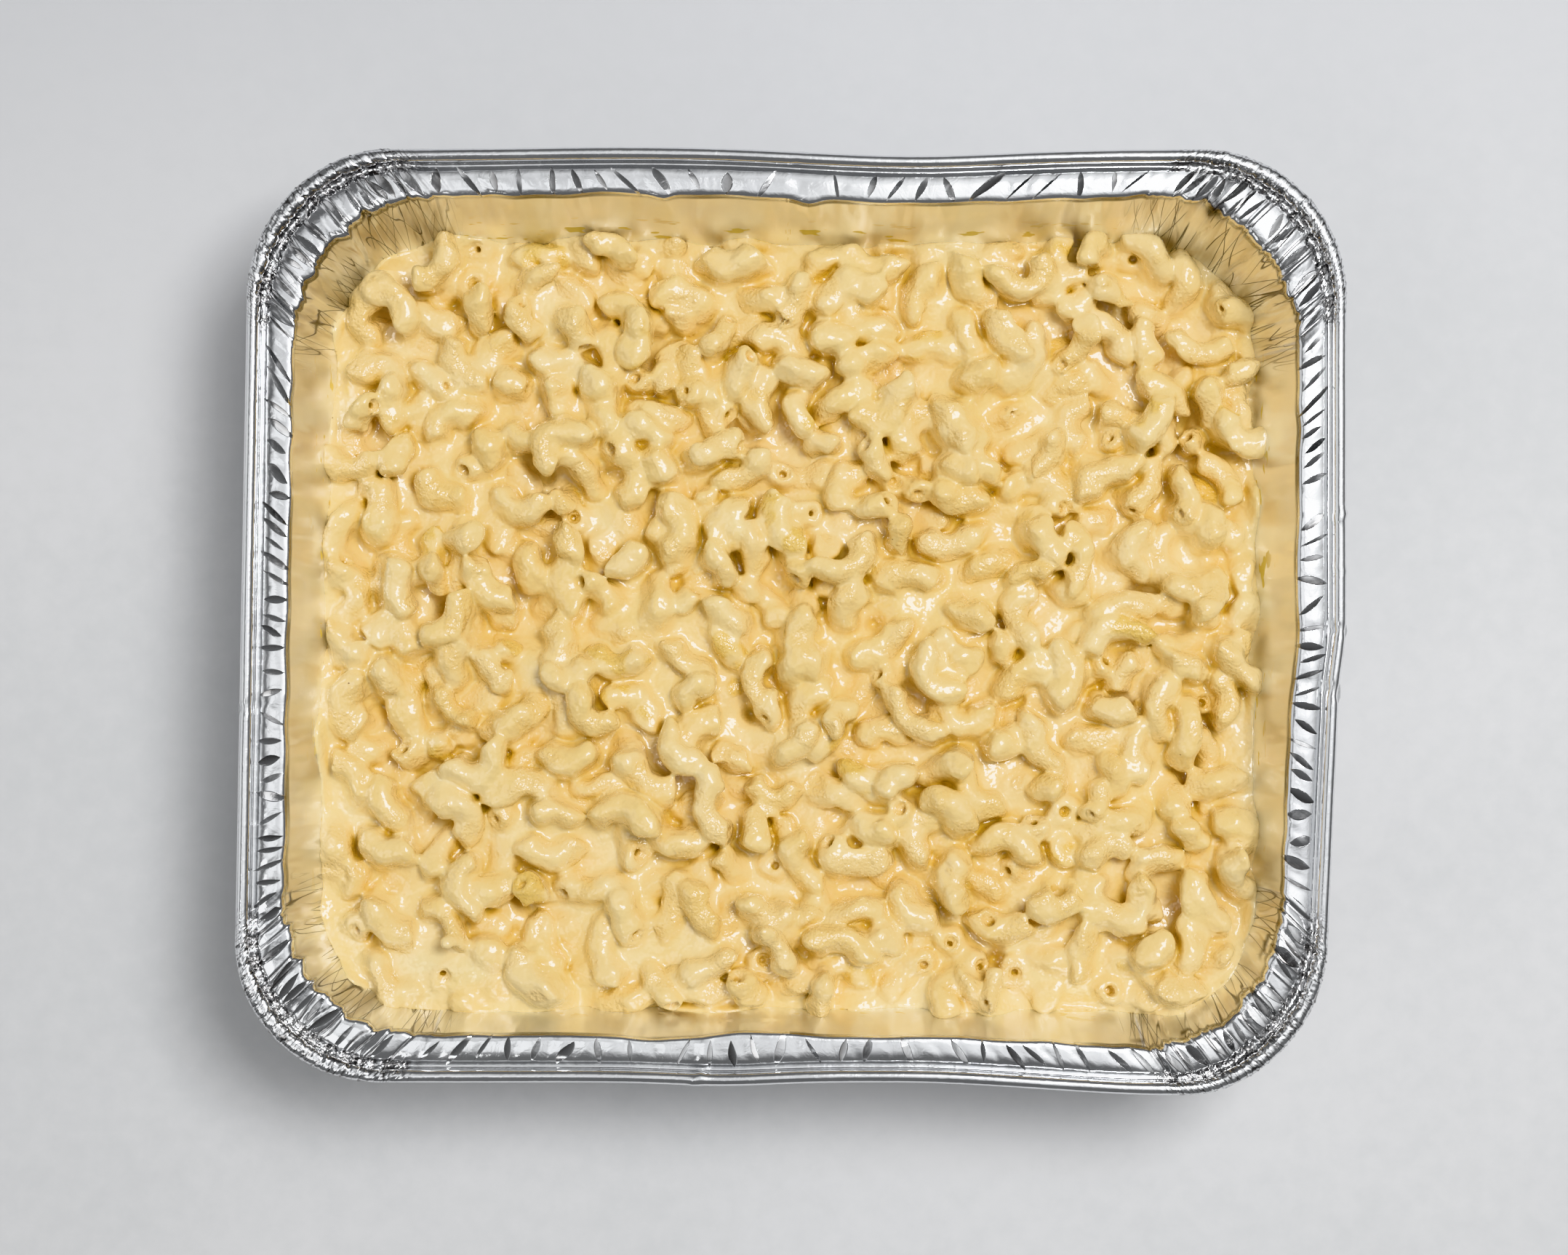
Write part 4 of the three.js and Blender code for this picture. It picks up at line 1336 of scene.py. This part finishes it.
def corner_creases(n):
    """Broken lines down the corners of the wall: painted shade in the colour, and shallow grooves in the
    bumps.
    """
    lines = n.most(n.lines(0.015, 0.28, 0.012, 0.03), n.lines(0.011, 0.2, 0.016, 0.13))
    lines = n.most(lines, n.lines(0.013, 0.24, 0.014, -0.1))
    return n.times(lines, n.fit(n.drawn_noise(1, 0.14, 0.03), 0.42, 0.5), n.corner, n.wall)


def painted_shade_lines(n, creases, groove):
    """Everything painted dark on the metal: painted shade in the corner creases, along the pleats' lines
    and the notch, in the turn of the wall's top, in the crimps and in the groove.
    """
    # Painted shade along the line in which the wall's top turns over into the flange.
    brim_shade = n.fit(n.drawn_noise(0, 0.04, 0.01), 0.35, 0.65, 0.1, 0.75)
    brim_shade = n.times(n.between(12.9, 13.4, 14.1, 14.9), brim_shade)
    # Painted shade in the crimps of the corners' groove.
    crimps = n.most(n.lines(0.03, 0.6, 0.1), n.lines(0.025, 0.45, 0.12, 0.15))
    crimps = n.times(crimps, n.fit(n.down, 4.8, 4.0), n.corner, 0.75)
    return n.most(n.times(creases, 0.8), n.times(n.value("fold"), 0.85), brim_shade, crimps, n.times(groove, 0.6))


def oil_smears(n):
    """Smears of sauce and oil low on the straight walls' inner face."""
    patches = n.fit(n.drawn_noise(2, 0.09, 0.18, 0.55), 0.615, 0.65)
    return n.times(n.fit(n.down, 25, 35), patches, n.wall, n.without(n.corner), n.value("food_side"))


def foil_bumps(n, tilted, creases, groove):
    """The sheet's rolled grain, crinkles, folds and crushed bead, one over the other."""
    across_grain = n.make("ShaderNodeMapping")
    n.put_all(across_grain, Vector=n.place(), Scale=(0.06, 1.0, 1.0))
    normal = n.bump(n.noise(900, 2, 0.6, across_grain.outputs[0]), 0.05, 0.0002)
    off_wall = n.fit(n.wall, 0.0, 1.0, 1.0, 0.25)
    normal = n.bump(n.times(n.noise(260, 3, 0.5, warp=0.6), off_wall), 0.2, 0.0006, normal)
    normal = n.bump(tilted, 1.0, 0.00055, normal)
    folds = n.times(n.drawn_noise(1, 0.3, 0.03), n.corner, n.wall)
    folds = n.math("SUBTRACT", folds, n.times(creases, 0.5))
    normal = n.bump(n.math("ADD", folds, wall_ripples(n)), 0.8, 0.0012, normal)
    crushed = n.math("ADD", n.times(groove, 0.8), n.fit(n.down, 3.4, 2.2, 0.0, 0.2))
    facets = n.cells(1.0, n.drawn(0.5, 0.3), "DISTANCE_TO_EDGE")["Distance"]
    facets = n.times(n.fit(facets, 0.0, 0.22, kind="LINEAR"), n.corner, crushed)
    return n.bump(facets, 0.6, 0.0005, normal)


def foil_material():
    n = FoilNodes("foil")
    creases = corner_creases(n)
    lens_painted_reflection, tilted = lens_marks(n)
    # The crimped groove between the bead and the flange, at the corners, bumped and with painted shade in
    # it.
    groove = n.times(n.between(2.4, 3.4, 5.2, 6.4), n.corner, n.fit(n.drawn_noise(2, 0.5, 0.5), 0.35, 0.6))
    metal = n.mix(n.fit(n.noise(38, 3, 0.55), 0.3, 0.7), paint(238, 239, 241), paint(246, 247, 248))
    # Painted shade: fine darker, browner streaks down the folded corners of the wall.
    painted_crease_streaks = n.times(n.fit(n.drawn_noise(2, 0.22, 0.03), 0.6, 0.38), 0.5, n.corner, n.wall)
    metal = n.mix(painted_crease_streaks, metal, paint(196, 188, 176))
    # Painted shade: creases, pleat lines, the wall's turn, crimps and groove drawn dark.
    metal = n.mix(painted_shade_lines(n, creases, groove), metal, paint(84, 76, 70))
    # Painted reflection: the marks' tilted facets drawn darker grey.
    metal = n.mix(lens_painted_reflection, metal, paint(124, 120, 117))
    smear = oil_smears(n)
    rough = n.fit(n.noise(60, 3, 0.6), 0.3, 0.75, 0.1, 0.19)
    rough = n.chain("ADD", rough, n.times(n.wall, 0.27), n.times(lens_painted_reflection, 0.1))
    n.put_all(
        n.shader, Base_Color=n.mix(smear, metal, paint(228, 208, 116)), Roughness=rough,
        Metallic=n.without(n.times(smear, 0.8)), Normal=foil_bumps(n, tilted, creases, groove),
    )
    return n.material


def food_colour(n, bare):
    """Sauce over pasta, with painted shade making the gaps between elbows darker, and a few brown specks.
    """
    film, tint = n.value("film"), n.value("tint")
    sauce = n.mix(n.fit(n.noise(45, 1, 0.5), 0.35, 0.7), paint(249, 222, 153), paint(252, 231, 175))
    pasta = n.mix(tint, paint(244, 209, 133), paint(248, 218, 153))
    pasta = n.mix(n.fit(tint, 0.9, 0.94), pasta, paint(236, 198, 100))
    thin = n.mix(tint, paint(248, 212, 138), paint(252, 222, 156))
    coated = n.mix(n.times(n.fit(film, 2.6, 0.4), 0.5), sauce, thin)
    colour = n.mix(n.times(bare, 0.8), coated, pasta)
    # Painted shade: darker, more saturated colour where the room ahead is crowded, between the elbows.
    deep = n.fit(n.value("gap"), 0.26, 0.74, kind="LINEAR")
    colour = n.mix(n.times(deep, 0.9), colour, paint(211, 171, 57))
    specks = n.cells(330)
    chosen = n.math("GREATER_THAN", specks["Color"], 0.93)
    dots = n.times(n.math("LESS_THAN", specks["Distance"], 0.09), chosen)
    return n.mix(n.times(dots, 0.8), colour, paint(120, 84, 50))


def food_material():
    n = Nodes("macaroni_in_sauce")
    patchy = n.times(n.math("SUBTRACT", n.noise(95, 2, 0.55), 0.5), 1.4)
    bare = n.fit(n.math("ADD", n.value("film"), patchy), 0.5, -0.1)
    normal = n.bump(n.noise(190, 1, 0.5), 0.4, 0.0014)
    normal = n.bump(n.noise(430, 1, 0.5), 0.5, 0.0008, normal)
    normal = n.bump(n.times(n.noise(1000, 1, 0.5), bare), 0.75, 0.0006, normal)
    n.put_all(
        n.shader, Base_Color=food_colour(n, bare), Normal=normal, IOR=1.46, Specular_IOR_Level=0.36,
        Roughness=n.fit(n.noise(300, 1, 0.6), 0.3, 0.7, 0.22, 0.36),
        Coat_Weight=1.0, Coat_Roughness=0.035, Coat_IOR=1.72, Coat_Normal=normal,
    )
    return n.material


# ---- room -----------------------------------------------------------------------------

FLOOR_HALF = 1100.0
FLOOR_DROP = 0.0005  # metres below the tray's base
LIGHT_TARGET = (0, 0, 0.04)


def build_floor():
    spots = [(sx * FLOOR_HALF, sy * FLOOR_HALF, 0) for sx, sy in ((-1, -1), (1, -1), (1, 1), (-1, 1))]
    floor = add_mesh("floor", spots, [(0, 1, 2, 3)])
    n = Nodes("floor")
    cloud = n.math("ADD", n.noise(4, 4, 0.5), n.times(n.noise(130, 3, 0.6), 0.35))
    surface = n.mix(n.fit(cloud, 0.47, 0.88), paint(215, 216, 217), paint(226, 226, 227))
    split = n.make("ShaderNodeSeparateXYZ")
    n.put(split.inputs[0], n.place())
    # Painted shade: the floor is coloured darker towards the back, in place of the light falling off there.
    far = n.fit(split.outputs["Y"], 0.0, 0.3)
    n.put(n.shader.inputs["Base Color"], n.mix(far, surface, paint(207, 208, 211)))
    n.put(n.shader.inputs["Roughness"], 0.7)
    floor.data.materials.append(n.material)
    floor.location.z = -FLOOR_DROP


def area_light(name, place, size, power):
    data = bpy.data.lights.new(name, "AREA")
    data.shape = "RECTANGLE"
    data.size, data.size_y = size
    data.energy = power
    light = bpy.data.objects.new(name, data)
    bpy.context.scene.collection.objects.link(light)
    light.location = place
    aim = Vector(LIGHT_TARGET) - Vector(place)
    light.rotation_euler = aim.to_track_quat("-Z", "Y").to_euler()


def build_light():
    area_light("key", (0.42, 0.30, 1.25), (0.50, 0.44), 11.5)
    area_light("fill", (-0.6, -0.5, 1.1), (0.5, 0.5), 1.0)


def build_world():
    """A dim room that grows lighter overhead, towards the key light, and on the left."""
    world = bpy.data.worlds.new("room")
    bpy.context.scene.world = world
    n = Nodes.over(world)
    way = n.make("ShaderNodeTexCoord").outputs["Generated"]

    def towards(x, y, z, low, high):
        node = n.make("ShaderNodeVectorMath", operation="DOT_PRODUCT")
        n.join(way, node.inputs[0])
        node.inputs[1].default_value = Vector((x, y, z)).normalized()
        return n.fit(node.outputs["Value"], low, high)

    patchy = n.fit(n.noise(2.3, 2, 0.5, way), 0.3, 0.7, 0.75, 1.25)
    above = n.times(towards(0.34, 0.22, 0.92, 0.72, 0.99), 0.72)
    left = n.times(towards(-0.9, 0.1, 0.45, 0.86, 0.97), 0.55)
    overhead = n.times(towards(-0.26, -0.04, 0.97, 0.972, 0.995), 0.5)
    glow = n.times(n.math("ADD", n.math("ADD", above, overhead), left), patchy)
    back = n.make("ShaderNodeBackground")
    n.put(back.inputs["Color"], (0.98, 0.99, 1.0, 1))
    n.put(back.inputs["Strength"], n.math("ADD", glow, 0.17))
    out = n.make("ShaderNodeOutputWorld")
    n.join(back.outputs[0], out.inputs[0])


def build_camera():
    data = bpy.data.cameras.new("camera")
    data.lens = 60.0
    data.sensor_width = 36.0
    data.sensor_fit = "HORIZONTAL"
    data.clip_start = 0.05
    camera = bpy.data.objects.new("camera", data)
    camera.location = (-0.0020, -0.0019, 0.8128)
    bpy.context.scene.collection.objects.link(camera)
    bpy.context.scene.camera = camera


# ---- everything -----------------------------------------------------------------------

build_camera()
build_light()
build_world()
build_floor()
view = bpy.context.scene.view_settings
view.view_transform = "Khronos PBR Neutral"

pan = build_foil()
pan.data.materials.append(foil_material())
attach(pan, "root")
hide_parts("foil_tray")

food = build_food()
food.data.materials.clear()
food.data.materials.append(food_material())
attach(food, "root")
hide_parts("macaroni_cheese")
